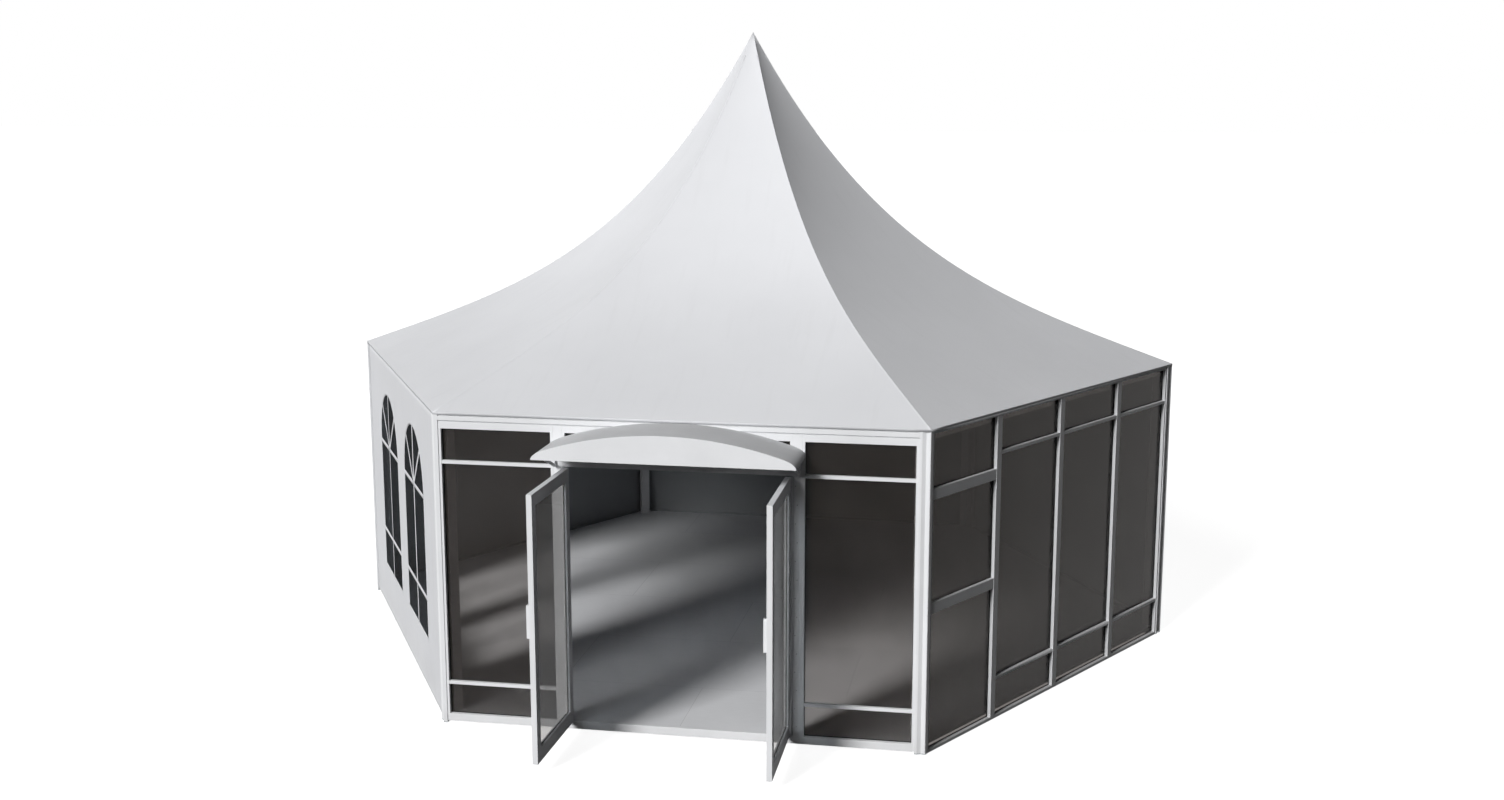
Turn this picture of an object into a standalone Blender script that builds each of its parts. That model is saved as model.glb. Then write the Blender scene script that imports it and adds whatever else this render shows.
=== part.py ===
"""Six-sided high-peak marquee with glazed front and side, double door and arched door canopy.

Metres, +Z up. The origin is on the ground at the centre of the plan, and the door faces -Y.
Each wall is built in its own frame: X runs along the wall from its left corner as seen from
outside, Y runs inwards and Z up. Wall 0 is the front and the others follow counterclockwise.
"""

import bpy
import bmesh
from math import asin, cos, pi, radians, sin, sqrt, tan
from mathutils import Matrix, Vector
from mathutils.geometry import tessellate_polygon

# Plan and heights
SIDES = 6
SIDE_LENGTH = 4.0
EAVE_HEIGHT = 2.634
PEAK_HEIGHT = 5.697
FRONT_LEFT_ANGLE = radians(240)
GAP = 0.0003
CUT_OVERRUN = 0.01

# Roof membrane
MEMBRANE_DROP = 0.008
ROOF_LIP_HEIGHT = 0.02
ROOF_LIP_THICKNESS = 0.004
ROOF_RISE_SHARES = (0.4718, -0.0817, 0.4078, 0.2021)
ROOF_DISH_SHARE = 0.035
ROOF_RINGS = 24
FACET_STRIPS = 4

# Corner posts: a cover nose between the walls, a neck and a square tube behind
POST_NOSE_DEPTH = 0.05
POST_NOSE_LONG_ARM = 0.087
POST_NOSE_LAND = 0.0002
POST_CHAMFER = 0.003
POST_CHANNEL_MIDDLE = 0.036
POST_CHANNEL_END = 0.066
POST_CHANNEL_DEPTH = 0.011
POST_NECK_WIDTH = 0.012
POST_TUBE_STANDOFF = 0.004
POST_TUBE_WIDTH = 0.09
POST_TUBE_DEPTH = 0.09
POST_TUBE_WALL = 0.006
FOOT_THICKNESS = 0.012
SPIGOT_HEIGHT = 0.12

# Eave beams, stays and mast
BEAM_WIDTH = 0.055
BEAM_HEIGHT = 0.11
BEAM_WALL = 0.004
STAY_RADIUS = 0.008
STAY_DROP = 0.144
STAY_STEP = 0.034
HUB_RADIUS = 0.075
HUB_MARGIN = 0.02
MAST_RADIUS = 0.045
MAST_WALL = 0.005
HEAD_RADIUS = 0.16
HEAD_SOCKET_DEPTH = 0.08
HEAD_RINGS = 5
HEAD_CLEARANCE = 0.0005

# Floor and the foot of the walls
DECK_HEIGHT = 0.08
DECK_BOARD_THICKNESS = 0.03
DECK_JOIST_WIDTH = 0.06
DECK_JOISTS = 7
DECK_RIM_WIDTH = 0.1
DECK_RIM_DISTANCE = 0.2
GROUND_GAP = 0.021

# Glazed walls
PANEL_RECESS = 0.006
GLASS_REVEAL = 0.032
GLASS_THICKNESS = 0.008
STILE_WIDTH = 0.022
FRONT_BOTTOM_RAIL_HEIGHT = 0.063
FRONT_TOP_RAIL_HEIGHT = 0.057
SIDE_GROUND_GAP = 0.003
SIDE_BOTTOM_RAIL_HEIGHT = 0.027
SIDE_TOP_RAIL_HEIGHT = 0.022
MULLION_WIDTH = 0.068
SIDE_BAYS = 4
BAR_HEIGHT = 0.028
BAR_LOW_HEIGHT = 0.339
FRONT_BAR_DROP = 0.347
SIDE_BAR_DROP = 0.346
THICK_BAR_HEIGHT = 0.088
THICK_BAR_DROP = 0.546
THICK_BAR_LOW_HEIGHT = 1.147
BAR_TENON = 0.004
FASCIA_HEIGHT = 0.056
FASCIA_DEPTH = 0.045
FASCIA_GROOVE_HEIGHT = 0.01
FASCIA_GROOVE_DEPTH = 0.012

# Fabric walls
FABRIC_THICKNESS = 0.004
FABRIC_SET_BACK = 0.012
HEM_HEIGHT = 0.07
HEM_DEPTH = 0.02
WINDOW_SPACING = 1.48
WINDOW_HALF_WIDTH = 0.525
WINDOW_SILL_HEIGHT = 0.495
WINDOW_SPRING_DROP = 0.859
WINDOW_LOW_BAR_RISE = 0.36
WINDOW_BAR_WIDTH = 0.038
WINDOW_FAN_PANES = 4
WINDOW_ARC_STEPS = 6
FILM_THICKNESS = 0.002
FILM_LAP = 0.05

# Door opening
DOOR_WIDTH = 1.86
DOOR_POST_WIDTH = 0.075
THRESHOLD_HEIGHT = 0.067
OVER_DOOR_HEIGHT = 0.332
HEADER_HEIGHT = 0.075

# Door leaves
LEAF_THICKNESS = 0.045
LEAF_SIDE_CLEARANCE = 0.004
LEAF_MEETING_CLEARANCE = 0.003
LEAF_END_CLEARANCE = 0.003
LEAF_STILE_WIDTH = 0.085
LEAF_TOP_RAIL_HEIGHT = 0.1
LEAF_BOTTOM_RAIL_HEIGHT = 0.11
LEFT_REST_ANGLE = radians(91.2)
RIGHT_REST_ANGLE = radians(90.7)
HANDLE_LENGTH = 0.262
HANDLE_HEIGHT = 1.093
HANDLE_WIDTH = 0.034
HANDLE_PROJECTION = 0.027
HANDLE_BASE = 0.005
HANDLE_WALL = 0.006
HANDLE_EDGE_DISTANCE = 0.022

# Continuous door hinges
HINGE_STANDOFF = 0.012
KNUCKLE_RADIUS = 0.009
KNUCKLES = 7
HINGE_HALVES = 2
KNUCKLE_FACETS = 16
KNUCKLE_WEB_ANGLE = radians(30)
PIN_RADIUS = 0.004
PIN_CLEARANCE = 0.0003
HINGE_PLATE_THICKNESS = 0.003
HINGE_PLATE_START = 0.008
HINGE_PLATE_WIDTH = 0.042
HINGE_WEB_WIDTH = 0.004

# Door canopy
CANOPY_DEPTH = 0.5
CANOPY_OVERHANG = 0.105
CANOPY_CROWN_DROP = 0.002
CANOPY_ARC_RISE = 0.1415
CANOPY_END_HEIGHT = 0.0825
CANOPY_SHEET_THICKNESS = 0.012
CANOPY_END_ROUND = 0.115
CANOPY_ARC_STEPS = 24
CANOPY_END_STEPS = 8
BRACKET_THICKNESS = 0.01
BRACKET_INSET = 0.042
BRACKET_LEG = 0.198
BRACKET_REACH = 0.45
BRACKET_ARM = 0.025

ROUND_FACETS = 32
STAY_FACETS = 12

HALF_CORNER = pi / 2 - pi / SIDES
APOTHEM = SIDE_LENGTH / (2 * tan(pi / SIDES))
LIP_BOTTOM = EAVE_HEIGHT - ROOF_LIP_HEIGHT
WALL_TOP = LIP_BOTTOM - GAP
PANEL_DEPTH = POST_NOSE_DEPTH - PANEL_RECESS
NOSE_VERTEX = POST_NOSE_DEPTH / tan(HALF_CORNER)
NECK_LAND = POST_NECK_WIDTH / 2 / sin(HALF_CORNER)
POST_NOSE_SHORT_ARM = NOSE_VERTEX + NECK_LAND + POST_NOSE_LAND
PANEL_LEFT = POST_NOSE_SHORT_ARM + GAP
PANEL_RIGHT = SIDE_LENGTH - POST_NOSE_LONG_ARM - GAP
TUBE_START = (
    POST_NOSE_DEPTH + POST_TUBE_STANDOFF + POST_TUBE_WIDTH / 2 * cos(HALF_CORNER)
) / sin(HALF_CORNER)
TUBE_END = TUBE_START + POST_TUBE_DEPTH
DOOR_LEFT = SIDE_LENGTH / 2 - DOOR_WIDTH / 2
DOOR_RIGHT = SIDE_LENGTH / 2 + DOOR_WIDTH / 2
THRESHOLD_TOP = GROUND_GAP + THRESHOLD_HEIGHT
FASCIA_BOTTOM = WALL_TOP - FASCIA_HEIGHT
FRONT_PANEL_TOP = FASCIA_BOTTOM - GAP
STAY_HEIGHT = EAVE_HEIGHT - STAY_DROP
DOOR_HEAD_HEIGHT = FRONT_PANEL_TOP - OVER_DOOR_HEIGHT
WINDOW_SPRING_HEIGHT = WALL_TOP - WINDOW_SPRING_DROP
WINDOW_LOW_BAR_HEIGHT = WINDOW_SILL_HEIGHT + WINDOW_LOW_BAR_RISE
CANOPY_CROWN_HEIGHT = WALL_TOP - CANOPY_CROWN_DROP
CANOPY_CHORD_HEIGHT = CANOPY_CROWN_HEIGHT - CANOPY_ARC_RISE - CANOPY_END_HEIGHT
CANOPY_HALF_WIDTH = DOOR_WIDTH / 2 + CANOPY_OVERHANG
CANOPY_ARC_REACH = CANOPY_HALF_WIDTH - CANOPY_END_ROUND
CANOPY_ARC_RADIUS = (CANOPY_ARC_REACH**2 + CANOPY_ARC_RISE**2) / (2 * CANOPY_ARC_RISE)


for old in list(bpy.data.objects):
    bpy.data.objects.remove(old, do_unlink=True)


def material(name, colour, roughness, metallic=0.0, alpha=1.0):
    """A finish: colour, roughness and metallic of a Principled BSDF."""
    made = bpy.data.materials.new(name)
    made.use_nodes = True
    shader = made.node_tree.nodes["Principled BSDF"]
    shader.inputs["Base Color"].default_value = (*colour, 1.0)
    shader.inputs["Roughness"].default_value = roughness
    shader.inputs["Metallic"].default_value = metallic
    shader.inputs["Alpha"].default_value = alpha
    return made


PVC_ROOF = material("coated_pvc_roof", (0.72, 0.73, 0.74), 0.5)
PVC_WALL = material("coated_pvc_wall", (0.74, 0.75, 0.76), 0.5)
CLEAR_FILM = material("clear_pvc_film", (0.08, 0.09, 0.1), 0.15, alpha=0.6)
WHITE_ALUMINIUM = material("white_powder_coat", (0.76, 0.77, 0.78), 0.35, 0.1)
MILL_ALUMINIUM = material("anodised_aluminium", (0.55, 0.56, 0.57), 0.4, 0.9)
STEEL = material("galvanised_steel", (0.45, 0.46, 0.47), 0.45, 0.9)
TINTED_GLASS = material("bronze_glass", (0.06, 0.055, 0.05), 0.05, alpha=0.6)
FLOOR_BOARD = material("floor_board", (0.42, 0.42, 0.43), 0.6)
GREY_CANOPY = material("grey_canopy_sheet", (0.62, 0.62, 0.63), 0.45)


def turned(points, clockwise=False):
    """The outline's points, running counterclockwise or clockwise."""
    area = sum(
        a[0] * b[1] - b[0] * a[1] for a, b in zip(points, points[1:] + points[:1])
    )
    return list(reversed(points)) if (area < 0) != clockwise else list(points)


def rectangle(left, low, right, high):
    return [(left, low), (right, low), (right, high), (left, high)]


def circle(radius, facets, centre=(0.0, 0.0)):
    return [
        (
            centre[0] + radius * cos(2 * pi * k / facets),
            centre[1] + radius * sin(2 * pi * k / facets),
        )
        for k in range(facets)
    ]


# Where each axis of an outline points: along X, Y or Z of the piece's own frame
PLAN = ((1, 0, 0), (0, 1, 0), (0, 0, 1))
ELEVATION = ((1, 0, 0), (0, 0, 1), (0, -1, 0))
SECTION = ((0, 1, 0), (0, 0, 1), (1, 0, 0))


def prism_mesh(name, loops, start, end, axes):
    """An outline with holes, swept from start to end. axes are the outline's two and the sweep."""
    loops = [turned(loops[0])] + [turned(hole, clockwise=True) for hole in loops[1:]]
    first, second, sweep = (Vector(axis) for axis in axes)
    mesh = bmesh.new()
    rings = []
    for distance in (start, end):
        rings.append(
            [
                [mesh.verts.new(first * x + second * y + sweep * distance) for x, y in loop]
                for loop in loops
            ]
        )
    flat = [[Vector((x, y, 0)) for x, y in loop] for loop in loops]
    low = [vert for ring in rings[0] for vert in ring]
    high = [vert for ring in rings[1] for vert in ring]
    for triangle in tessellate_polygon(flat):
        mesh.faces.new([low[k] for k in triangle])
        mesh.faces.new([high[k] for k in reversed(triangle)])
    for low_ring, high_ring in zip(*rings):
        for k in range(len(low_ring)):
            n = (k + 1) % len(low_ring)
            mesh.faces.new([low_ring[k], low_ring[n], high_ring[n], high_ring[k]])
    bmesh.ops.recalc_face_normals(mesh, faces=mesh.faces)
    data = bpy.data.meshes.new(name)
    mesh.to_mesh(data)
    mesh.free()
    return data


def place(name, data, finish, matrix=None, parent=None):
    """A named piece with its finish, placed in the world or under its parent."""
    made = bpy.data.objects.new(name, data)
    bpy.context.scene.collection.objects.link(made)
    data.materials.append(finish)
    made.parent = parent
    if matrix is not None:
        made.matrix_local = matrix
    return made


def prism(name, loops, start, end, axes, finish, matrix=None, parent=None):
    return place(name, prism_mesh(name, loops, start, end, axes), finish, matrix, parent)


def combined(piece, tools, operation):
    """Joins the tool meshes to a piece, or cuts them out of it, one by one."""
    for number, data in enumerate(tools):
        tool = bpy.data.objects.new(f"{piece.name}_tool_{number}", data)
        bpy.context.scene.collection.objects.link(tool)
        tool.hide_render = True
        tool.display_type = "WIRE"
        tool.parent = piece
        change = piece.modifiers.new(f"{operation.lower()}_{number}", "BOOLEAN")
        change.operation = operation
        change.solver = "EXACT"
        change.object = tool
    return piece


def wall_frame(wall):
    """The frame of a wall, at its left corner on the ground."""
    angle = FRONT_LEFT_ANGLE + 2 * pi * wall / SIDES
    corner = Vector((SIDE_LENGTH * cos(angle), SIDE_LENGTH * sin(angle), 0))
    return Matrix.Translation(corner) @ Matrix.Rotation(2 * pi * wall / SIDES, 4, "Z")


FRONT, RIGHT, BACK_RIGHT, BACK, BACK_LEFT, LEFT = range(SIDES)
CORNER_NAMES = ("front_left", "front_right", "right", "back_right", "back_left", "left")
WALL_NAMES = ("front", "right", "back_right", "back", "back_left", "left")


def rise(run_share):
    """Height of the roof above the eave, at a share of the way from the corner to the axis."""
    total = 0.0
    for power, share in enumerate(ROOF_RISE_SHARES, start=1):
        total += share * run_share**power
    return total * (PEAK_HEIGHT - EAVE_HEIGHT)


def roof_ring(reach_share, lowered):
    """One level ring of the roof: its corners on the hips, and sides drawn in between them."""
    radius = reach_share * SIDE_LENGTH
    height = EAVE_HEIGHT + rise(1 - reach_share) - lowered
    draw_in = ROOF_DISH_SHARE * radius * (1 - reach_share)
    points = []
    for wall in range(SIDES):
        angle = FRONT_LEFT_ANGLE + 2 * pi * wall / SIDES
        here = Vector((cos(angle), sin(angle)))
        turn = angle + 2 * pi / SIDES
        there = Vector((cos(turn), sin(turn)))
        middle = (here + there).normalized()
        for strip in range(FACET_STRIPS):
            along = strip / FACET_STRIPS
            sag = 4 * along * (1 - along) * draw_in
            plan = (here * (1 - along) + there * along) * radius - middle * sag
            points.append((plan.x, plan.y, height))
    return points


def joined_rings(mesh, lower, upper):
    for k in range(len(lower)):
        n = (k + 1) % len(lower)
        mesh.faces.new([lower[k], lower[n], upper[n], upper[k]])


def fanned(mesh, ring, point):
    for k in range(len(ring)):
        mesh.faces.new([ring[k], ring[(k + 1) % len(ring)], point])


def finished(mesh, name):
    bmesh.ops.recalc_face_normals(mesh, faces=mesh.faces)
    data = bpy.data.meshes.new(name)
    mesh.to_mesh(data)
    mesh.free()
    return data


def roof_membrane():
    """The stretched membrane: an outer and an inner skin, and a lip that hangs over the walls."""
    mesh = bmesh.new()
    reaches = [1 - k / ROOF_RINGS for k in range(ROOF_RINGS)]
    outer = [
        [mesh.verts.new(point) for point in roof_ring(reach, 0.0)] for reach in reaches
    ]
    inner_reach = 1 - ROOF_LIP_THICKNESS / APOTHEM
    inner = [
        [mesh.verts.new(point) for point in roof_ring(reach * inner_reach, MEMBRANE_DROP)]
        for reach in reaches
    ]
    outer_lip = [mesh.verts.new((v.co.x, v.co.y, LIP_BOTTOM)) for v in outer[0]]
    inner_lip = [mesh.verts.new((v.co.x, v.co.y, LIP_BOTTOM)) for v in inner[0]]
    for lower, upper in zip(outer, outer[1:]):
        joined_rings(mesh, lower, upper)
    for lower, upper in zip(inner, inner[1:]):
        joined_rings(mesh, upper, lower)
    joined_rings(mesh, outer_lip, outer[0])
    joined_rings(mesh, inner_lip, outer_lip)
    joined_rings(mesh, inner[0], inner_lip)
    fanned(mesh, outer[-1], mesh.verts.new((0, 0, PEAK_HEIGHT)))
    fanned(mesh, list(reversed(inner[-1])), mesh.verts.new((0, 0, PEAK_HEIGHT - MEMBRANE_DROP)))
    place("roof_membrane", finished(mesh, "roof_membrane"), PVC_ROOF)


def roof_underside(depth):
    """Height of the membrane's underside, at a depth behind the middle of a wall's face."""
    run_share = depth / (APOTHEM + ROOF_DISH_SHARE * SIDE_LENGTH)
    return EAVE_HEIGHT + rise(run_share) - MEMBRANE_DROP


def mast_head():
    """The crown under the peak, shaped like the membrane that it carries, with a socket below."""
    mesh = bmesh.new()
    lowered = MEMBRANE_DROP + HEAD_CLEARANCE
    reach = HEAD_RADIUS / SIDE_LENGTH
    rings = [
        [mesh.verts.new(point) for point in roof_ring(reach * (1 - k / HEAD_RINGS), lowered)]
        for k in range(HEAD_RINGS)
    ]
    for lower, upper in zip(rings, rings[1:]):
        joined_rings(mesh, lower, upper)
    fanned(mesh, rings[-1], mesh.verts.new((0, 0, PEAK_HEIGHT - lowered)))
    bottom = roof_ring(reach, lowered)[0][2]
    mesh.faces.new(list(reversed(rings[0])))
    bore = prism_mesh(
        "mast_head_bore",
        [circle(MAST_RADIUS + GAP, ROUND_FACETS)],
        bottom - CUT_OVERRUN,
        bottom + HEAD_SOCKET_DEPTH,
        PLAN,
    )
    head = place("mast_head", finished(mesh, "mast_head"), MILL_ALUMINIUM)
    combined(head, [bore], "DIFFERENCE")
    return bottom


def mast_and_stays(head_bottom):
    """Three rods across the corners at three levels, the hub that they cross in, and the mast."""
    hub_low = STAY_HEIGHT - STAY_RADIUS - HUB_MARGIN
    hub_high = STAY_HEIGHT + 2 * STAY_STEP + STAY_RADIUS + HUB_MARGIN
    reach = SIDE_LENGTH - TUBE_END - GAP
    bores = []
    for level in range(SIDES // 2):
        height = STAY_HEIGHT + level * STAY_STEP
        angle = FRONT_LEFT_ANGLE + 2 * pi * level / SIDES
        turn = Matrix.Rotation(angle, 4, "Z") @ Matrix.Translation((0, 0, height))
        name = f"stay_rod_{CORNER_NAMES[level]}_to_{CORNER_NAMES[level + SIDES // 2]}"
        outline = [circle(STAY_RADIUS, STAY_FACETS)]
        prism(name, outline, -reach, reach, SECTION, STEEL, turn)
        bore = prism_mesh(
            f"hub_bore_{level}",
            [circle(STAY_RADIUS + GAP / cos(pi / STAY_FACETS), STAY_FACETS)],
            -HUB_RADIUS - CUT_OVERRUN,
            HUB_RADIUS + CUT_OVERRUN,
            SECTION,
        )
        bore.transform(turn)
        bores.append(bore)
    hub = prism(
        "stay_hub", [circle(HUB_RADIUS, ROUND_FACETS)], hub_low, hub_high, PLAN, STEEL
    )
    combined(hub, bores, "DIFFERENCE")
    prism(
        "mast",
        [
            circle(MAST_RADIUS, ROUND_FACETS),
            circle(MAST_RADIUS - MAST_WALL, ROUND_FACETS),
        ],
        hub_high + GAP,
        head_bottom + HEAD_SOCKET_DEPTH - GAP,
        PLAN,
        MILL_ALUMINIUM,
    )


def on_bisector(distance, sideways):
    """A point of a corner's plan, in the frame of the wall to its right."""
    return (
        distance * cos(HALF_CORNER) + sideways * sin(HALF_CORNER),
        distance * sin(HALF_CORNER) - sideways * cos(HALF_CORNER),
    )


def on_left_wall(along, depth):
    """A point of the wall to the corner's left, in the frame of the wall to its right."""
    turn = 2 * HALF_CORNER
    return (
        along * cos(turn) + depth * sin(turn),
        along * sin(turn) - depth * cos(turn),
    )


def post_outline():
    """Plan of a corner post: nose with a shallow channel along its wide side, neck, tube."""
    neck = POST_NECK_WIDTH / 2
    tube = POST_TUBE_WIDTH / 2
    return [
        (POST_CHAMFER, 0),
        (POST_NOSE_SHORT_ARM, 0),
        (POST_NOSE_SHORT_ARM, POST_NOSE_DEPTH),
        (NOSE_VERTEX + NECK_LAND, POST_NOSE_DEPTH),
        on_bisector(TUBE_START, neck),
        on_bisector(TUBE_START, tube),
        on_bisector(TUBE_END, tube),
        on_bisector(TUBE_END, -tube),
        on_bisector(TUBE_START, -tube),
        on_bisector(TUBE_START, -neck),
        on_left_wall(NOSE_VERTEX + NECK_LAND, POST_NOSE_DEPTH),
        on_left_wall(POST_NOSE_LONG_ARM, POST_NOSE_DEPTH),
        on_left_wall(POST_NOSE_LONG_ARM, 0),
        on_left_wall(POST_CHANNEL_END, 0),
        on_left_wall(POST_CHANNEL_MIDDLE, POST_CHANNEL_DEPTH),
        on_left_wall(POST_CHAMFER, 0),
    ]


def tube_bore(inset):
    half = POST_TUBE_WIDTH / 2 - inset
    return [
        on_bisector(TUBE_START + inset, -half),
        on_bisector(TUBE_START + inset, half),
        on_bisector(TUBE_END - inset, half),
        on_bisector(TUBE_END - inset, -half),
    ]


def posts_and_feet():
    """Six hollow posts, each over the spigot of its own foot plate."""
    outline = post_outline()
    for corner in range(SIDES):
        frame = wall_frame(corner)
        name = CORNER_NAMES[corner]
        prism(
            f"corner_post_{name}",
            [outline, tube_bore(POST_TUBE_WALL)],
            FOOT_THICKNESS + GAP,
            WALL_TOP,
            PLAN,
            WHITE_ALUMINIUM,
            frame,
        )
        foot = prism(
            f"foot_plate_{name}", [outline], 0, FOOT_THICKNESS, PLAN, STEEL, frame
        )
        spigot = prism_mesh(
            f"spigot_{name}",
            [tube_bore(POST_TUBE_WALL + GAP)],
            FOOT_THICKNESS / 2,
            FOOT_THICKNESS + SPIGOT_HEIGHT,
            PLAN,
        )
        combined(foot, [spigot], "UNION")


def eave_beams():
    """Box beams behind the wall heads, from tube to tube, that carry the membrane's edge."""
    outer = POST_NOSE_DEPTH + POST_TUBE_STANDOFF
    inner = outer + BEAM_WIDTH
    tube_side = on_bisector(
        (inner + POST_TUBE_WIDTH / 2 * cos(HALF_CORNER)) / sin(HALF_CORNER),
        POST_TUBE_WIDTH / 2,
    )
    end = max(tube_side[0], POST_NOSE_LONG_ARM) + GAP / sin(HALF_CORNER)
    top = roof_underside(outer) - GAP
    low = top - BEAM_HEIGHT
    for wall in range(SIDES):
        prism(
            f"eave_beam_{WALL_NAMES[wall]}",
            [
                rectangle(outer, low, inner, top),
                rectangle(
                    outer + BEAM_WALL, low + BEAM_WALL, inner - BEAM_WALL, top - BEAM_WALL
                ),
            ],
            end,
            SIDE_LENGTH - end,
            SECTION,
            MILL_ALUMINIUM,
            wall_frame(wall),
        )


def floor_deck():
    """Boards on a rim and joists, notched round the six post tubes."""
    edge = POST_NOSE_DEPTH + GAP
    half = POST_TUBE_WIDTH / 2 + GAP
    mouth = (edge + half * cos(HALF_CORNER)) / sin(HALF_CORNER)
    outline = []
    for corner in range(SIDES):
        frame = wall_frame(corner)
        for distance, sideways in (
            (mouth, -half),
            (TUBE_END + GAP, -half),
            (TUBE_END + GAP, half),
            (mouth, half),
        ):
            x, y = on_bisector(distance, sideways)
            point = frame @ Vector((x, y, 0))
            outline.append((point.x, point.y))
    board_bottom = DECK_HEIGHT - DECK_BOARD_THICKNESS
    deck = prism("floor_deck", [outline], board_bottom, DECK_HEIGHT, PLAN, FLOOR_BOARD)
    outside = APOTHEM - DECK_RIM_DISTANCE
    inside = outside - DECK_RIM_WIDTH
    rim = [
        (outside / sin(HALF_CORNER) * cos(turn), outside / sin(HALF_CORNER) * sin(turn))
        for turn in (2 * pi * corner / SIDES for corner in range(SIDES))
    ]
    spacing = 2 * inside / (DECK_JOISTS + 1)
    fields = []
    for number in range(DECK_JOISTS + 1):
        low = number * spacing - inside
        high = low + spacing
        if number > 0:
            low += DECK_JOIST_WIDTH / 2
        if number < DECK_JOISTS:
            high -= DECK_JOIST_WIDTH / 2
        low_reach = (inside - abs(low) * cos(HALF_CORNER)) / sin(HALF_CORNER)
        high_reach = (inside - abs(high) * cos(HALF_CORNER)) / sin(HALF_CORNER)
        fields.append(
            [(-low_reach, low), (low_reach, low), (high_reach, high), (-high_reach, high)]
        )
    lap = board_bottom + DECK_BOARD_THICKNESS / 2
    combined(deck, [prism_mesh("deck_joists", [rim] + fields, 0, lap, PLAN)], "UNION")


def glazing_frame(name, left, right, low, high, rails, bays, bars, frame):
    """A ladder frame of stiles, rails and mullions with bars in front of the glass.

    rails are the widths of stile, bottom rail and top rail, and bars are (bay, low, height).
    It gives the bays back as rectangles, for their panes.
    """
    stile, bottom, top = rails
    spacing = SIDE_LENGTH / SIDE_BAYS
    panes = []
    for bay in range(bays):
        bay_left = left + stile if bay == 0 else bay * spacing + MULLION_WIDTH / 2
        bay_right = (
            right - stile if bay == bays - 1 else (bay + 1) * spacing - MULLION_WIDTH / 2
        )
        panes.append((bay_left, low + bottom, bay_right, high - top))
    ladder = prism(
        name,
        [rectangle(left, low, right, high)] + [rectangle(*pane) for pane in panes],
        -PANEL_RECESS,
        -POST_NOSE_DEPTH,
        ELEVATION,
        WHITE_ALUMINIUM,
        frame,
    )
    pieces = []
    for bay, bar_low, bar_height in bars:
        bar_left, _, bar_right, _ = panes[bay]
        outline = rectangle(
            bar_left - BAR_TENON, bar_low, bar_right + BAR_TENON, bar_low + bar_height
        )
        pieces.append(
            prism_mesh(
                f"{name}_bar",
                [outline],
                -PANEL_RECESS - BAR_TENON / 2,
                -PANEL_RECESS - GLASS_REVEAL + GAP,
                ELEVATION,
            )
        )
    combined(ladder, pieces, "UNION")
    return panes


def pane(name, rectangle_of_bay, frame):
    """A glass pane that fills a bay, set back from the frame's face."""
    left, low, right, high = rectangle_of_bay
    prism(
        name,
        [rectangle(left + GAP, low + GAP, right - GAP, high - GAP)],
        -PANEL_RECESS - GLASS_REVEAL,
        -PANEL_RECESS - GLASS_REVEAL - GLASS_THICKNESS,
        ELEVATION,
        TINTED_GLASS,
        frame,
    )


def front_wall():
    """Two fixed lights, the door posts, the light over the door, threshold and fascia."""
    frame = wall_frame(FRONT)
    rails = (STILE_WIDTH, FRONT_BOTTOM_RAIL_HEIGHT, FRONT_TOP_RAIL_HEIGHT)
    bars = [(0, BAR_LOW_HEIGHT, BAR_HEIGHT), (0, FRONT_PANEL_TOP - FRONT_BAR_DROP, BAR_HEIGHT)]
    outer_left = DOOR_LEFT - DOOR_POST_WIDTH
    outer_right = DOOR_RIGHT + DOOR_POST_WIDTH
    for name, left, right in (
        ("left", PANEL_LEFT, outer_left - GAP),
        ("right", outer_right + GAP, PANEL_RIGHT),
    ):
        panes = glazing_frame(
            f"front_frame_{name}",
            left,
            right,
            GROUND_GAP,
            FRONT_PANEL_TOP,
            rails,
            1,
            bars,
            frame,
        )
        pane(f"front_pane_{name}", panes[0], frame)
    for name, left, right in (
        ("left", outer_left, DOOR_LEFT),
        ("right", DOOR_RIGHT, outer_right),
    ):
        prism(
            f"door_post_{name}",
            [rectangle(left, PANEL_RECESS, right, POST_NOSE_DEPTH)],
            GROUND_GAP,
            FRONT_PANEL_TOP,
            PLAN,
            WHITE_ALUMINIUM,
            frame,
        )
    panes = glazing_frame(
        "over_door_frame",
        DOOR_LEFT + GAP,
        DOOR_RIGHT - GAP,
        DOOR_HEAD_HEIGHT,
        FRONT_PANEL_TOP,
        (STILE_WIDTH, HEADER_HEIGHT, FRONT_TOP_RAIL_HEIGHT),
        1,
        [],
        frame,
    )
    pane("over_door_pane", panes[0], frame)
    prism(
        "door_threshold",
        [rectangle(DOOR_LEFT + GAP, GROUND_GAP, DOOR_RIGHT - GAP, THRESHOLD_TOP)],
        -PANEL_RECESS,
        -POST_NOSE_DEPTH,
        ELEVATION,
        WHITE_ALUMINIUM,
        frame,
    )
    prism(
        "front_fascia",
        [
            [
                (0, FASCIA_BOTTOM + FASCIA_GROOVE_HEIGHT),
                (FASCIA_GROOVE_DEPTH, FASCIA_BOTTOM + FASCIA_GROOVE_HEIGHT),
                (FASCIA_GROOVE_DEPTH, FASCIA_BOTTOM),
                (FASCIA_DEPTH, FASCIA_BOTTOM),
                (FASCIA_DEPTH, WALL_TOP),
                (FASCIA_GROOVE_DEPTH, WALL_TOP),
                (FASCIA_GROOVE_DEPTH, WALL_TOP - FASCIA_GROOVE_HEIGHT),
                (0, WALL_TOP - FASCIA_GROOVE_HEIGHT),
            ]
        ],
        PANEL_LEFT,
        PANEL_RIGHT,
        SECTION,
        WHITE_ALUMINIUM,
        frame,
    )


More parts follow.
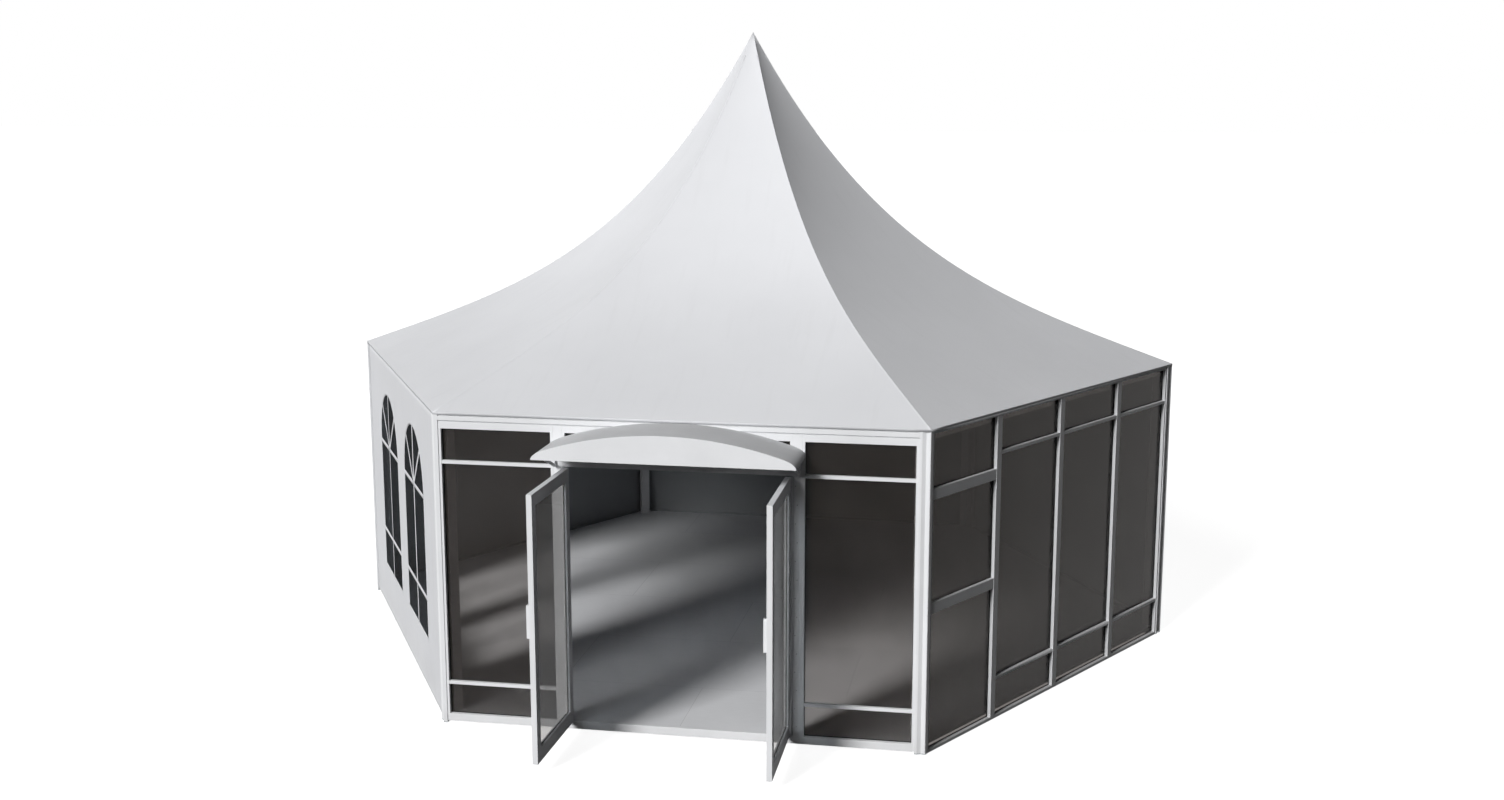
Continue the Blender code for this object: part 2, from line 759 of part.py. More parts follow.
def right_wall():
    """One long ladder frame with four bays: the nearest has two thick bars, the rest two thin."""
    frame = wall_frame(RIGHT)
    bars = [
        (0, THICK_BAR_LOW_HEIGHT, THICK_BAR_HEIGHT),
        (0, WALL_TOP - THICK_BAR_DROP, THICK_BAR_HEIGHT),
    ]
    for bay in range(1, SIDE_BAYS):
        bars.append((bay, BAR_LOW_HEIGHT, BAR_HEIGHT))
        bars.append((bay, WALL_TOP - SIDE_BAR_DROP, BAR_HEIGHT))
    panes = glazing_frame(
        "right_frame",
        PANEL_LEFT,
        PANEL_RIGHT,
        SIDE_GROUND_GAP,
        WALL_TOP,
        (STILE_WIDTH, SIDE_BOTTOM_RAIL_HEIGHT, SIDE_TOP_RAIL_HEIGHT),
        SIDE_BAYS,
        bars,
        frame,
    )
    for bay, rectangle_of_bay in enumerate(panes, start=1):
        pane(f"right_pane_{bay}", rectangle_of_bay, frame)


def fan_pane(centre, number):
    """One pane of a window's fan head, between two radiating bars."""
    half_bar = WINDOW_BAR_WIDTH / 2
    wedge = pi / WINDOW_FAN_PANES
    start = number * wedge
    trim = asin(half_bar / WINDOW_HALF_WIDTH)
    point = half_bar / sin(wedge / 2)
    middle = start + wedge / 2
    outline = [(centre + point * cos(middle), WINDOW_SPRING_HEIGHT + point * sin(middle))]
    for step in range(WINDOW_ARC_STEPS + 1):
        angle = start + trim + (wedge - 2 * trim) * step / WINDOW_ARC_STEPS
        outline.append(
            (
                centre + WINDOW_HALF_WIDTH * cos(angle),
                WINDOW_SPRING_HEIGHT + WINDOW_HALF_WIDTH * sin(angle),
            )
        )
    return outline


def window_holes(centre):
    """The openings of one arched window: four upright panes and the fan above them."""
    half_bar = WINDOW_BAR_WIDTH / 2
    rows = (
        (WINDOW_SILL_HEIGHT, WINDOW_LOW_BAR_HEIGHT - half_bar),
        (WINDOW_LOW_BAR_HEIGHT + half_bar, WINDOW_SPRING_HEIGHT - half_bar),
    )
    holes = []
    for low, high in rows:
        holes.append(rectangle(centre - WINDOW_HALF_WIDTH, low, centre - half_bar, high))
        holes.append(rectangle(centre + half_bar, low, centre + WINDOW_HALF_WIDTH, high))
    holes.extend(fan_pane(centre, number) for number in range(WINDOW_FAN_PANES))
    return holes


def hem_mesh(name):
    """The weighted pocket along the foot of a fabric wall."""
    outline = rectangle(
        FABRIC_SET_BACK, GROUND_GAP, FABRIC_SET_BACK + HEM_DEPTH, GROUND_GAP + HEM_HEIGHT
    )
    return prism_mesh(name, [outline], PANEL_LEFT, PANEL_RIGHT, SECTION)


def left_wall():
    """A fabric wall with two arched windows, and the clear film welded behind them."""
    frame = wall_frame(LEFT)
    centres = (SIDE_LENGTH / 2 - WINDOW_SPACING / 2, SIDE_LENGTH / 2 + WINDOW_SPACING / 2)
    back = FABRIC_SET_BACK + FABRIC_THICKNESS
    holes = [hole for centre in centres for hole in window_holes(centre)]
    skin = prism(
        "left_wall_skin",
        [rectangle(PANEL_LEFT, GROUND_GAP + HEM_HEIGHT / 2, PANEL_RIGHT, WALL_TOP)] + holes,
        -FABRIC_SET_BACK,
        -back,
        ELEVATION,
        PVC_WALL,
        frame,
    )
    combined(skin, [hem_mesh("left_wall_hem")], "UNION")
    reach = WINDOW_HALF_WIDTH + FILM_LAP
    prism(
        "left_window_film",
        [
            rectangle(
                centres[0] - reach,
                WINDOW_SILL_HEIGHT - FILM_LAP,
                centres[1] + reach,
                WINDOW_SPRING_HEIGHT + reach,
            )
        ],
        -back - GAP,
        -back - GAP - FILM_THICKNESS,
        ELEVATION,
        CLEAR_FILM,
        frame,
    )


def plain_walls():
    """The three plain fabric walls at the back, each with its hem in one profile."""
    outer = FABRIC_SET_BACK
    back = FABRIC_SET_BACK + FABRIC_THICKNESS
    hem_top = GROUND_GAP + HEM_HEIGHT
    outline = [
        (outer, GROUND_GAP),
        (outer + HEM_DEPTH, GROUND_GAP),
        (outer + HEM_DEPTH, hem_top),
        (back, hem_top),
        (back, WALL_TOP),
        (outer, WALL_TOP),
    ]
    for wall in (BACK_RIGHT, BACK, BACK_LEFT):
        prism(
            f"{WALL_NAMES[wall]}_wall_skin",
            [outline],
            PANEL_LEFT,
            PANEL_RIGHT,
            SECTION,
            PVC_WALL,
            wall_frame(wall),
        )


def knuckle_outline(hand):
    """Plan of a hinge knuckle and its web, round the pin at the origin."""
    start = pi / 2
    end = 2 * pi + KNUCKLE_WEB_ANGLE
    points = [
        (
            hand * KNUCKLE_RADIUS * cos(start + (end - start) * k / KNUCKLE_FACETS),
            KNUCKLE_RADIUS * sin(start + (end - start) * k / KNUCKLE_FACETS),
        )
        for k in range(KNUCKLE_FACETS + 1)
    ]
    web = HINGE_PLATE_START + HINGE_WEB_WIDTH
    plate_front = HINGE_STANDOFF - GAP - HINGE_PLATE_THICKNESS
    points.append((hand * web, plate_front))
    points.append((hand * web, HINGE_STANDOFF - GAP))
    points.append((hand * HINGE_PLATE_START, HINGE_STANDOFF - GAP))
    return points


def hinge_half(name, hand, first, low, high, frame, parent, pinned):
    """Half of a continuous hinge: a plate and every second knuckle, with or without the pin."""
    plate = rectangle(
        hand * HINGE_PLATE_START,
        HINGE_STANDOFF - GAP - HINGE_PLATE_THICKNESS,
        hand * (HINGE_PLATE_START + HINGE_PLATE_WIDTH),
        HINGE_STANDOFF - GAP,
    )
    half = prism(name, [plate], low, high, PLAN, WHITE_ALUMINIUM, frame, parent)
    pitch = (high - low) / KNUCKLES
    parts = []
    for number in range(first, KNUCKLES, HINGE_HALVES):
        bottom = low + number * pitch
        top = high if number == KNUCKLES - 1 else bottom + pitch - GAP
        loops = [knuckle_outline(hand)]
        if not pinned:
            loops.append(circle(PIN_RADIUS + PIN_CLEARANCE, KNUCKLE_FACETS))
        parts.append(prism_mesh(f"{name}_knuckle_{number}", loops, bottom, top, PLAN))
    if pinned:
        pin = [circle(PIN_RADIUS, KNUCKLE_FACETS)]
        parts.append(prism_mesh(f"{name}_pin", pin, low, high, PLAN))
    combined(half, parts, "UNION")


def handle(name, hand, leaf_width, outside, parent):
    """A hooked pull fixed near the leaf's free edge, on its outer or its inner face."""
    far = leaf_width - HANDLE_EDGE_DISTANCE
    near = far - HANDLE_WIDTH
    face = HINGE_STANDOFF - GAP if outside else HINGE_STANDOFF + LEAF_THICKNESS + GAP
    away = -1 if outside else 1
    lip = HANDLE_PROJECTION - HANDLE_WALL
    outline = [
        (near, 0),
        (far, 0),
        (far, HANDLE_PROJECTION),
        (near, HANDLE_PROJECTION),
        (near, lip),
        (far - HANDLE_WALL, lip),
        (far - HANDLE_WALL, HANDLE_BASE),
        (near, HANDLE_BASE),
    ]
    points = [(hand * x, face + away * y) for x, y in outline]
    prism(
        name,
        [points],
        HANDLE_HEIGHT,
        HANDLE_HEIGHT + HANDLE_LENGTH,
        PLAN,
        WHITE_ALUMINIUM,
        None,
        parent,
    )


def door_leaf(side, hand, axis_along, rest_angle, handle_outside):
    """A glazed leaf, its half of the hinge and its pull, all under an empty on the hinge axis."""
    frame = wall_frame(FRONT)
    axis = frame @ Matrix.Translation((axis_along, PANEL_RECESS - HINGE_STANDOFF, 0))
    pivot = bpy.data.objects.new(f"door_axis_{side}", None)
    bpy.context.scene.collection.objects.link(pivot)
    pivot.matrix_world = axis @ Matrix.Rotation(-hand * rest_angle, 4, "Z")
    low = THRESHOLD_TOP + LEAF_END_CLEARANCE
    high = DOOR_HEAD_HEIGHT - LEAF_END_CLEARANCE
    width = DOOR_WIDTH / 2 - LEAF_MEETING_CLEARANCE / 2
    opening = (
        hand * (LEAF_SIDE_CLEARANCE + LEAF_STILE_WIDTH),
        low + LEAF_BOTTOM_RAIL_HEIGHT,
        hand * (width - LEAF_STILE_WIDTH),
        high - LEAF_TOP_RAIL_HEIGHT,
    )
    prism(
        f"door_leaf_{side}",
        [rectangle(hand * LEAF_SIDE_CLEARANCE, low, hand * width, high), rectangle(*opening)],
        -HINGE_STANDOFF,
        -HINGE_STANDOFF - LEAF_THICKNESS,
        ELEVATION,
        WHITE_ALUMINIUM,
        None,
        pivot,
    )
    middle = HINGE_STANDOFF + LEAF_THICKNESS / 2
    prism(
        f"door_glass_{side}",
        [
            rectangle(
                opening[0] + hand * GAP,
                opening[1] + GAP,
                opening[2] - hand * GAP,
                opening[3] - GAP,
            )
        ],
        -middle + GLASS_THICKNESS / 2,
        -middle - GLASS_THICKNESS / 2,
        ELEVATION,
        TINTED_GLASS,
        None,
        pivot,
    )
    handle(f"door_pull_{side}", hand, width, handle_outside, pivot)
    hinge_half(f"hinge_half_leaf_{side}", hand, 1, low, high, None, pivot, False)
    hinge_half(f"hinge_half_post_{side}", -hand, 0, low, high, axis, None, True)


def canopy_arc(inset):
    """The arch from its right end over the crown to its left end, with its ends turned down.

    inset is how far inside the sheet's outer face it runs.
    """
    half_width = CANOPY_HALF_WIDTH - inset
    radius = CANOPY_ARC_RADIUS - inset
    crown = CANOPY_CROWN_HEIGHT - inset
    reach = asin(CANOPY_ARC_REACH / radius)
    arch = []
    for k in range(CANOPY_ARC_STEPS + 1):
        angle = reach * (1 - 2 * k / CANOPY_ARC_STEPS)
        arch.append((radius * sin(angle), crown - radius + radius * cos(angle)))
    shoulder = arch[0][1] - CANOPY_CHORD_HEIGHT
    knee = shoulder - (half_width - CANOPY_ARC_REACH) * tan(reach)
    ends = []
    for k in range(CANOPY_END_STEPS):
        up = k / CANOPY_END_STEPS
        along = half_width - (half_width - CANOPY_ARC_REACH) * up**2
        height = shoulder * up**2 + 2 * knee * up * (1 - up)
        ends.append((along, CANOPY_CHORD_HEIGHT + height))
    left = [(-along, height) for along, height in reversed(ends)]
    return [(SIDE_LENGTH / 2 + along, height) for along, height in ends + arch + left]


def height_on(outline, along):
    """Height at which an arch stands over a place along the wall."""
    for (right, high), (left, low) in zip(outline, outline[1:]):
        if left <= along < right:
            return low + (high - low) * (along - left) / (right - left)
    return CANOPY_CHORD_HEIGHT


def door_canopy():
    """The arched sheet, the lunette board at its front and the two brackets that carry it."""
    frame = wall_frame(FRONT)
    outer = canopy_arc(0.0)
    inner = canopy_arc(CANOPY_SHEET_THICKNESS)
    board_front = CANOPY_DEPTH
    board_back = CANOPY_DEPTH - CANOPY_SHEET_THICKNESS
    prism(
        "canopy_sheet",
        [outer + list(reversed(inner))],
        GAP,
        board_back - GAP,
        ELEVATION,
        GREY_CANOPY,
        frame,
    )
    prism(
        "canopy_front_board",
        [outer],
        board_back,
        board_front,
        ELEVATION,
        WHITE_ALUMINIUM,
        frame,
    )
    far = CANOPY_HALF_WIDTH - BRACKET_INSET
    near = far - BRACKET_THICKNESS
    top = height_on(inner, SIDE_LENGTH / 2 + far) - GAP
    outline = [
        (PANEL_RECESS - GAP, top - BRACKET_LEG),
        (PANEL_RECESS - GAP, top),
        (-BRACKET_REACH, top),
        (-BRACKET_REACH, top - BRACKET_ARM),
        (-BRACKET_ARM, top - BRACKET_LEG),
    ]
    run = BRACKET_REACH - BRACKET_ARM
    fall = BRACKET_LEG - BRACKET_ARM
    open_fall = fall - BRACKET_ARM * sqrt(run**2 + fall**2) / run
    opening = [
        (-BRACKET_ARM, top - BRACKET_ARM),
        (-BRACKET_ARM - run * open_fall / fall, top - BRACKET_ARM),
        (-BRACKET_ARM, top - BRACKET_ARM - open_fall),
    ]
    for name, hand in (("left", -1), ("right", 1)):
        ends = (SIDE_LENGTH / 2 + hand * near, SIDE_LENGTH / 2 + hand * far)
        prism(
            f"canopy_bracket_{name}",
            [outline, opening],
            min(ends),
            max(ends),
            SECTION,
            WHITE_ALUMINIUM,
            frame,
        )


roof_membrane()
mast_and_stays(mast_head())
posts_and_feet()
eave_beams()
floor_deck()
front_wall()
right_wall()
left_wall()
plain_walls()
door_leaf("left", 1, DOOR_LEFT, LEFT_REST_ANGLE, True)
door_leaf("right", -1, DOOR_RIGHT, RIGHT_REST_ANGLE, False)
door_canopy()
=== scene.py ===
from math import asin, cos, pi, radians, sin

import bmesh
import bpy
from mathutils import Matrix, Vector, noise
from mathutils.geometry import tessellate_polygon


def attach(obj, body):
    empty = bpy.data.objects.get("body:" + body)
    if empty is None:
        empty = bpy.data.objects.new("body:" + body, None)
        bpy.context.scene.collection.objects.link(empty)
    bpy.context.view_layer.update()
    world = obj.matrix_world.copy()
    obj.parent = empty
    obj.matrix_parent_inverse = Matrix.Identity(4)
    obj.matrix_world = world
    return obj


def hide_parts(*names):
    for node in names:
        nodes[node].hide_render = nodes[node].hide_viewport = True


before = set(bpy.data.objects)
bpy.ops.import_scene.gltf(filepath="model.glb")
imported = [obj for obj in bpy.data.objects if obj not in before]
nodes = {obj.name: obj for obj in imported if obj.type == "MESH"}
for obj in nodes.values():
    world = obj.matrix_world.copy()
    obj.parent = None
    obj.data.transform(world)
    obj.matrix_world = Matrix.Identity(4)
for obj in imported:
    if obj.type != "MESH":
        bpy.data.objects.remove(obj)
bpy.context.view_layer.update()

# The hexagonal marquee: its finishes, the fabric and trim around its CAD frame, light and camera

scene = bpy.context.scene
MM = 0.001

# Plan and heights, in metres
SIDES = 6
SIDE_LENGTH = 4.0
EAVE_HEIGHT = 2.634
PEAK_HEIGHT = 5.697
FRONT_LEFT_ANGLE = radians(240)
WALL_TOP = 2.6137
GROUND_GAP = 0.021
PANEL_LEFT = 0.0363
PANEL_RIGHT = 3.9127
FRONT, RIGHT, BACK_RIGHT, BACK, BACK_LEFT, LEFT = range(SIDES)

# Cloth and its windows
FABRIC_THICKNESS = 0.0015
WINDOW_CENTRES = (1.26, 2.74)
WINDOW_HALF_WIDTH = 0.525
WINDOW_SILL = 0.495
WINDOW_SPRING = 1.7547
WINDOW_LOW_BAR = 0.855
WINDOW_BAR = 0.038
WINDOW_FAN_PANES = 4


def linear(hex_colour):
    """An sRGB hex colour as the linear RGBA that a shader takes."""
    channels = [int(hex_colour[k : k + 2], 16) / 255 for k in (1, 3, 5)]
    return (
        *(c / 12.92 if c <= 0.04045 else ((c + 0.055) / 1.055) ** 2.4 for c in channels),
        1.0,
    )


def add_node(tree, kind, inputs=None, **settings):
    """A node with its settings; inputs, by name or number, are linked or set."""
    node = tree.nodes.new(kind)
    for name, value in settings.items():
        setattr(node, name, value)
    for key, value in (inputs or {}).items():
        if isinstance(value, bpy.types.NodeSocket):
            tree.links.new(value, node.inputs[key])
        else:
            node.inputs[key].default_value = value
    return node


def stops(tree, value, *colours):
    """The colour that a Color Ramp with these (position, colour) stops gives for a value."""
    made = add_node(tree, "ShaderNodeValToRGB", {0: value})
    elements = made.color_ramp.elements
    while len(elements) < len(colours):
        elements.new(1.0)
    for element, (position, colour) in zip(elements, colours):
        element.position = position
        element.color = colour
    return made.outputs["Color"]


def blend(tree, kind, factor, a, b):
    """A colour Mix node of a blend kind; gives its Result."""
    mix = add_node(
        tree, "ShaderNodeMix", {0: factor, 6: a, 7: b}, data_type="RGBA", blend_type=kind
    )
    return mix.outputs[2]


def math(tree, operation, *values):
    """A Math node on sockets or numbers; gives its value."""
    return add_node(
        tree, "ShaderNodeMath", dict(enumerate(values)), operation=operation
    ).outputs[0]


def new_material(name, shader_values):
    """A material whose Principled BSDF has these values; gives material, tree and shader."""
    made = bpy.data.materials.new(name)
    made.use_nodes = True
    shader = made.node_tree.nodes["Principled BSDF"]
    for key, value in shader_values.items():
        shader.inputs[key].default_value = value
    return made, made.node_tree, shader


def grey(value):
    """A neutral colour from a linear value."""
    return (value, value, value, 1.0)


# Finishes


def surface(tree, shader, colour=None, rough=None, height=None, strength=0.1, distance=MM):
    """Links a colour, a roughness and a bump height to the shader."""
    if colour is not None:
        tree.links.new(colour, shader.inputs["Base Color"])
    if rough is not None:
        tree.links.new(rough, shader.inputs["Roughness"])
    if height is not None:
        bump = add_node(
            tree,
            "ShaderNodeBump",
            {"Strength": strength, "Distance": distance, "Height": height},
        )
        tree.links.new(bump.outputs["Normal"], shader.inputs["Normal"])


def spread(tree, value, low, high):
    """A 0 to 1 value drawn out between two roughnesses or heights."""
    return add_node(tree, "ShaderNodeMapRange", {0: value, 3: low, 4: high}).outputs[0]


def cloud(tree, place, scale, detail=4.0, stretch=None, rough=0.55):
    """Noise on a position, drawn out along an axis where stretch says so."""
    if stretch:
        place = add_node(
            tree, "ShaderNodeMapping", {"Vector": place, "Scale": stretch}
        ).outputs[0]
    made = add_node(
        tree,
        "ShaderNodeTexNoise",
        {"Vector": place, "Scale": scale, "Detail": detail, "Roughness": rough},
    )
    return made.outputs[0]


def foot_soil(tree, place, top, share):
    """0 above a height, rising to share on the ground, broken up by noise."""
    height = add_node(tree, "ShaderNodeSeparateXYZ", {0: place}).outputs[2]
    low = add_node(
        tree, "ShaderNodeMapRange", {0: height, 1: 0.0, 2: top, 3: share, 4: 0.0}
    ).outputs[0]
    return math(tree, "MULTIPLY", low, cloud(tree, place, 9.0, 6.0))


def threads(tree, place, pitch):
    """The relief of a plain weave with this thread pitch, on the cloth's own UV map."""
    scale = 2 * pi / (20 * pitch)
    warp, weft = (
        add_node(
            tree,
            "ShaderNodeTexWave",
            {"Vector": place, "Scale": scale},
            wave_type="BANDS",
            bands_direction=direction,
        ).outputs["Color"]
        for direction in ("X", "Y")
    )
    return blend(tree, "MULTIPLY", 1.0, warp, weft)


def coated_polyester(name, base, shade, streak):
    """Polyester scrim knife-coated with PVC and lacquered: satin, with the scrim's threads
    faint under the coat, broad changes of tone, streaks of rain soil and a soiled foot."""
    made, tree, shader = new_material(name, {"IOR": 1.5, "Specular IOR Level": 0.12})
    cloth = add_node(tree, "ShaderNodeUVMap", uv_map="cloth").outputs[0]
    place = add_node(tree, "ShaderNodeTexCoord").outputs["Object"]
    # threads 1.1 mm apart would not show, so they are drawn 7 mm apart
    weave = threads(tree, cloth, 7 * MM)
    broad = cloud(tree, place, 0.9, 5.0)
    rain = cloud(tree, cloth, 3.0, 5.0, stretch=(4.0, 0.35, 1.0))
    tone = stops(tree, broad, (0.3, linear(shade)), (0.7, linear(base)))
    tone = blend(tree, "MULTIPLY", 0.05, tone, weave)
    marks = stops(tree, rain, (0.55, grey(0.0)), (0.85, grey(streak)))
    tone = blend(tree, "MIX", marks, tone, linear("#8F8C86"))
    soil = foot_soil(tree, place, 0.35, 0.2)
    tone = blend(tree, "MIX", soil, tone, linear("#8C877E"))
    rough = spread(tree, cloud(tree, place, 2.4, 6.0), 0.5, 0.68)
    surface(tree, shader, tone, rough, weave, 0.12, 0.6 * MM)
    return made


def powder_coat(name, base, shade):
    """Polyester powder baked on aluminium: an even satin skin with fine orange peel, chalkier
    in places, and splashed near the ground."""
    made, tree, shader = new_material(name, {"IOR": 1.5, "Specular IOR Level": 0.04})
    place = add_node(tree, "ShaderNodeTexCoord").outputs["Object"]
    chalk = cloud(tree, place, 2.2, 6.0)
    tone = stops(tree, chalk, (0.35, linear(shade)), (0.65, linear(base)))
    tone = blend(tree, "MIX", foot_soil(tree, place, 0.16, 0.22), tone, linear("#8A857C"))
    rough = spread(tree, cloud(tree, place, 14.0, 5.0), 0.44, 0.6)
    # orange peel has 1 to 2 mm dimples, drawn at 4 mm
    peel = cloud(tree, place, 1 / (4 * MM), 2.0)
    surface(tree, shader, tone, rough, peel, 0.06, 0.3 * MM)
    return made


def lamp_window(tree, shader, tint):
    """Lets lamps through: rays from them meet a clear tint in place of the shader."""
    path = add_node(tree, "ShaderNodeLightPath")
    clear = add_node(tree, "ShaderNodeBsdfTransparent", {"Color": tint})
    both = add_node(
        tree,
        "ShaderNodeMixShader",
        {0: path.outputs["Is Shadow Ray"], 1: shader.outputs[0], 2: clear.outputs[0]},
    )
    tree.links.new(both.outputs[0], tree.nodes["Material Output"].inputs["Surface"])


def bronze_glass(name, bend, face, slanted, edge_on, veil=0.0):
    """Toughened float glass, bronze in its body, with a tint for each slant of view, the slight
    waves that the rollers of the furnace leave, and a breath of dust. With a veil, that share of
    the light is scattered on through the glass."""
    made, tree, shader = new_material(
        name,
        {"Transmission Weight": 0.978, "IOR": bend, "Specular Tint": linear("#FFE6D4")},
    )
    place = add_node(tree, "ShaderNodeTexCoord").outputs["Object"]
    slant = add_node(tree, "ShaderNodeLayerWeight", {"Blend": 0.5}).outputs["Facing"]
    tints = ((0.1, linear(face)), (0.36, linear(slanted)), (0.8, linear(edge_on)))
    body = stops(tree, slant, *tints)
    dust = spread(tree, cloud(tree, place, 1.3, 3.0), 0.62, 1.06)
    body = blend(tree, "MULTIPLY", 1.0, body, dust)
    rough = spread(tree, cloud(tree, place, 6.0, 6.0), 0.0, 0.05)
    # roller waves are 250 to 300 mm apart
    waves = cloud(tree, place, 3.5, 1.0, stretch=(1.0, 1.0, 2.2))
    surface(tree, shader, body, rough, waves, 0.05, 1.2 * MM)
    if veil:
        scatter = add_node(tree, "ShaderNodeBsdfTranslucent", {"Color": grey(1.0)})
        shader = add_node(
            tree,
            "ShaderNodeMixShader",
            {0: veil, 1: shader.outputs[0], 2: scatter.outputs[0]},
        )
    lamp_window(tree, shader, linear("#898C8F"))
    return made


def clear_film():
    """Flexible clear PVC, calendered: slightly smoky, with soft ripples in its gloss."""
    made, tree, shader = new_material(
        "clear_window_film",
        {
            "Transmission Weight": 1.0,
            "IOR": 1.0,
            "Coat Weight": 0.02,
            "Base Color": linear("#A4A9AD"),
        },
    )
    place = add_node(tree, "ShaderNodeTexCoord").outputs["Object"]
    rough = spread(tree, cloud(tree, place, 8.0, 5.0), 0.04, 0.16)
    ripples = cloud(tree, place, 7.0, 2.0, stretch=(1.0, 1.0, 0.5))
    surface(tree, shader, None, rough, ripples, 0.35, 2.0 * MM)
    lamp_window(tree, shader, grey(1.0))
    return made


def drawn_metal():
    """Extruded and anodised aluminium: a soft metal shine with fine die lines along Z."""
    made, tree, shader = new_material("anodised_extrusion", {"Metallic": 1.0})
    place = add_node(tree, "ShaderNodeTexCoord").outputs["Object"]
    lines = cloud(tree, place, 1 / (3 * MM), 3.0, stretch=(1.0, 1.0, 0.02))
    tone = stops(tree, lines, (0.3, linear("#B4B6B9")), (0.7, linear("#C9CBCD")))
    rough = spread(tree, cloud(tree, place, 12.0, 5.0), 0.28, 0.42)
    surface(tree, shader, tone, rough, lines, 0.05, 0.2 * MM)
    return made


def zinc_spangle():
    """Hot-dip galvanised steel: grey crystals of zinc, about 14 mm across, each its own shade."""
    made, tree, shader = new_material("hot_dip_zinc", {"Metallic": 0.9})
    place = add_node(tree, "ShaderNodeTexCoord").outputs["Object"]
    crystals = add_node(
        tree, "ShaderNodeTexVoronoi", {"Vector": place, "Scale": 1 / (14 * MM)}
    )
    shades = ((0.0, linear("#9A9D9F")), (1.0, linear("#BFC2C4")))
    tone = stops(tree, crystals.outputs["Color"], *shades)
    rough = spread(tree, cloud(tree, place, 20.0, 4.0), 0.34, 0.58)
    surface(tree, shader, tone, rough, crystals.outputs["Distance"], 0.05, 0.2 * MM)
    return made


def floor_boards():
    """Film-faced birch plywood painted grey: 1.25 by 2.5 m boards, worn duller where people
    walk, with dust in the joints."""
    made, tree, shader = new_material("painted_plywood", {"IOR": 1.5, "Specular IOR Level": 0.25})
    place = add_node(tree, "ShaderNodeTexCoord").outputs["Object"]
    boards = add_node(
        tree,
        "ShaderNodeTexBrick",
        {
            "Vector": place,
            "Color1": linear("#ECEDEF"),
            "Color2": linear("#E8E9EC"),
            "Mortar": linear("#CBCCCF"),
            "Scale": 1.0,
            "Mortar Size": 0.002,
            "Mortar Smooth": 0.2,
            "Brick Width": 2.5,
            "Row Height": 1.25,
        },
    )
    wear = cloud(tree, place, 1.1, 7.0)
    scuffs = cloud(tree, place, 26.0, 7.0, stretch=(0.35, 1.0, 1.0))
    tone = blend(tree, "MULTIPLY", 0.09, boards.outputs["Color"], wear)
    tone = blend(tree, "MULTIPLY", 0.07, tone, scuffs)
    dull = math(tree, "ADD", wear, math(tree, "MULTIPLY", scuffs, 0.3))
    rough = spread(tree, dull, 0.3, 0.62)
    surface(tree, shader, tone, rough, boards.outputs["Fac"], -0.1, 1.0 * MM)
    return made


def seal_rubber():
    """Extruded EPDM: matt black, a little grey with dust."""
    made, tree, shader = new_material("epdm_seal", {"IOR": 1.5, "Specular IOR Level": 0.3})
    place = add_node(tree, "ShaderNodeTexCoord").outputs["Object"]
    dust = cloud(tree, place, 30.0, 6.0)
    tone = stops(tree, dust, (0.35, linear("#161718")), (0.75, linear("#2E2F30")))
    rough = spread(tree, cloud(tree, place, 60.0), 0.55, 0.8)
    surface(tree, shader, tone, rough)
    return made


MEMBRANE = coated_polyester("coated_roof_membrane", "#E5E6E9", "#E0E1E4", 0.06)
WALL_CLOTH = coated_polyester("coated_wall_cloth", "#DDDEE1", "#D8D9DC", 0.08)
LINING = coated_polyester("light_proof_lining", "#A7AAAD", "#A1A4A7", 0.0)
WHITE_COAT = powder_coat("satin_white_coat", "#E7E8EA", "#E1E2E4")
CANOPY_COAT = powder_coat("grey_canopy_coat", "#CFD0D2", "#C8C9CB")
GLASS = bronze_glass("bronze_float_glass", 1.17, "#C3BFBC", "#86827F", "#86827F")
LEAF_GLASS = bronze_glass("bronze_leaf_glass", 1.45, "#A9A6A4", "#A6A4A2", "#B4B2B0", 0.035)
FILM = clear_film()
ANODISED = drawn_metal()
ZINC = zinc_spangle()
BOARDS = floor_boards()
RUBBER = seal_rubber()


# Finish of the CAD nodes, and a small rounding on their edges

WELD_DISTANCE = 0.02 * MM
SHARP_EDGE = radians(40)


def dress(names, finish, bevel, segments=2):
    """Gives CAD nodes their finish and rounds their sharp edges."""
    for name in names:
        piece = nodes[name]
        piece.data.materials.clear()
        piece.data.materials.append(finish)
        weld = piece.modifiers.new("joined", "WELD")
        weld.merge_threshold = WELD_DISTANCE
        if bevel:
            edge = piece.modifiers.new("edges", "BEVEL")
            edge.width = bevel
            edge.segments = segments
            edge.limit_method = "ANGLE"
            edge.angle_limit = SHARP_EDGE
            edge.miter_outer = "MITER_ARC"


def starting(*prefixes):
    """Names of the nodes that start with one of these words."""
    return [name for name in nodes if name.startswith(prefixes)]


dress(starting("corner_post"), WHITE_COAT, 1.2 * MM)
dress(starting("front_frame", "right_frame", "over_door_frame"), WHITE_COAT, 1.0 * MM)
dress(starting("door_post", "door_threshold", "front_fascia"), WHITE_COAT, 1.2 * MM)
dress(starting("door_leaf", "canopy_front_board", "canopy_bracket"), WHITE_COAT, 1.5 * MM)
dress(starting("door_pull"), WHITE_COAT, 1.6 * MM, 3)
dress(starting("canopy_sheet"), CANOPY_COAT, 1.0 * MM)
dress(starting("front_pane", "right_pane", "over_door_pane"), GLASS, 0.0)
dress(starting("door_glass"), LEAF_GLASS, 0.0)
dress(starting("hinge_half"), WHITE_COAT, 0.4 * MM)
dress(starting("eave_beam", "mast"), ANODISED, 0.4 * MM)
dress(starting("foot_plate", "stay_rod", "stay_hub"), ZINC, 0.6 * MM)
dress(["floor_deck"], BOARDS, 1.5 * MM)

# Shapes


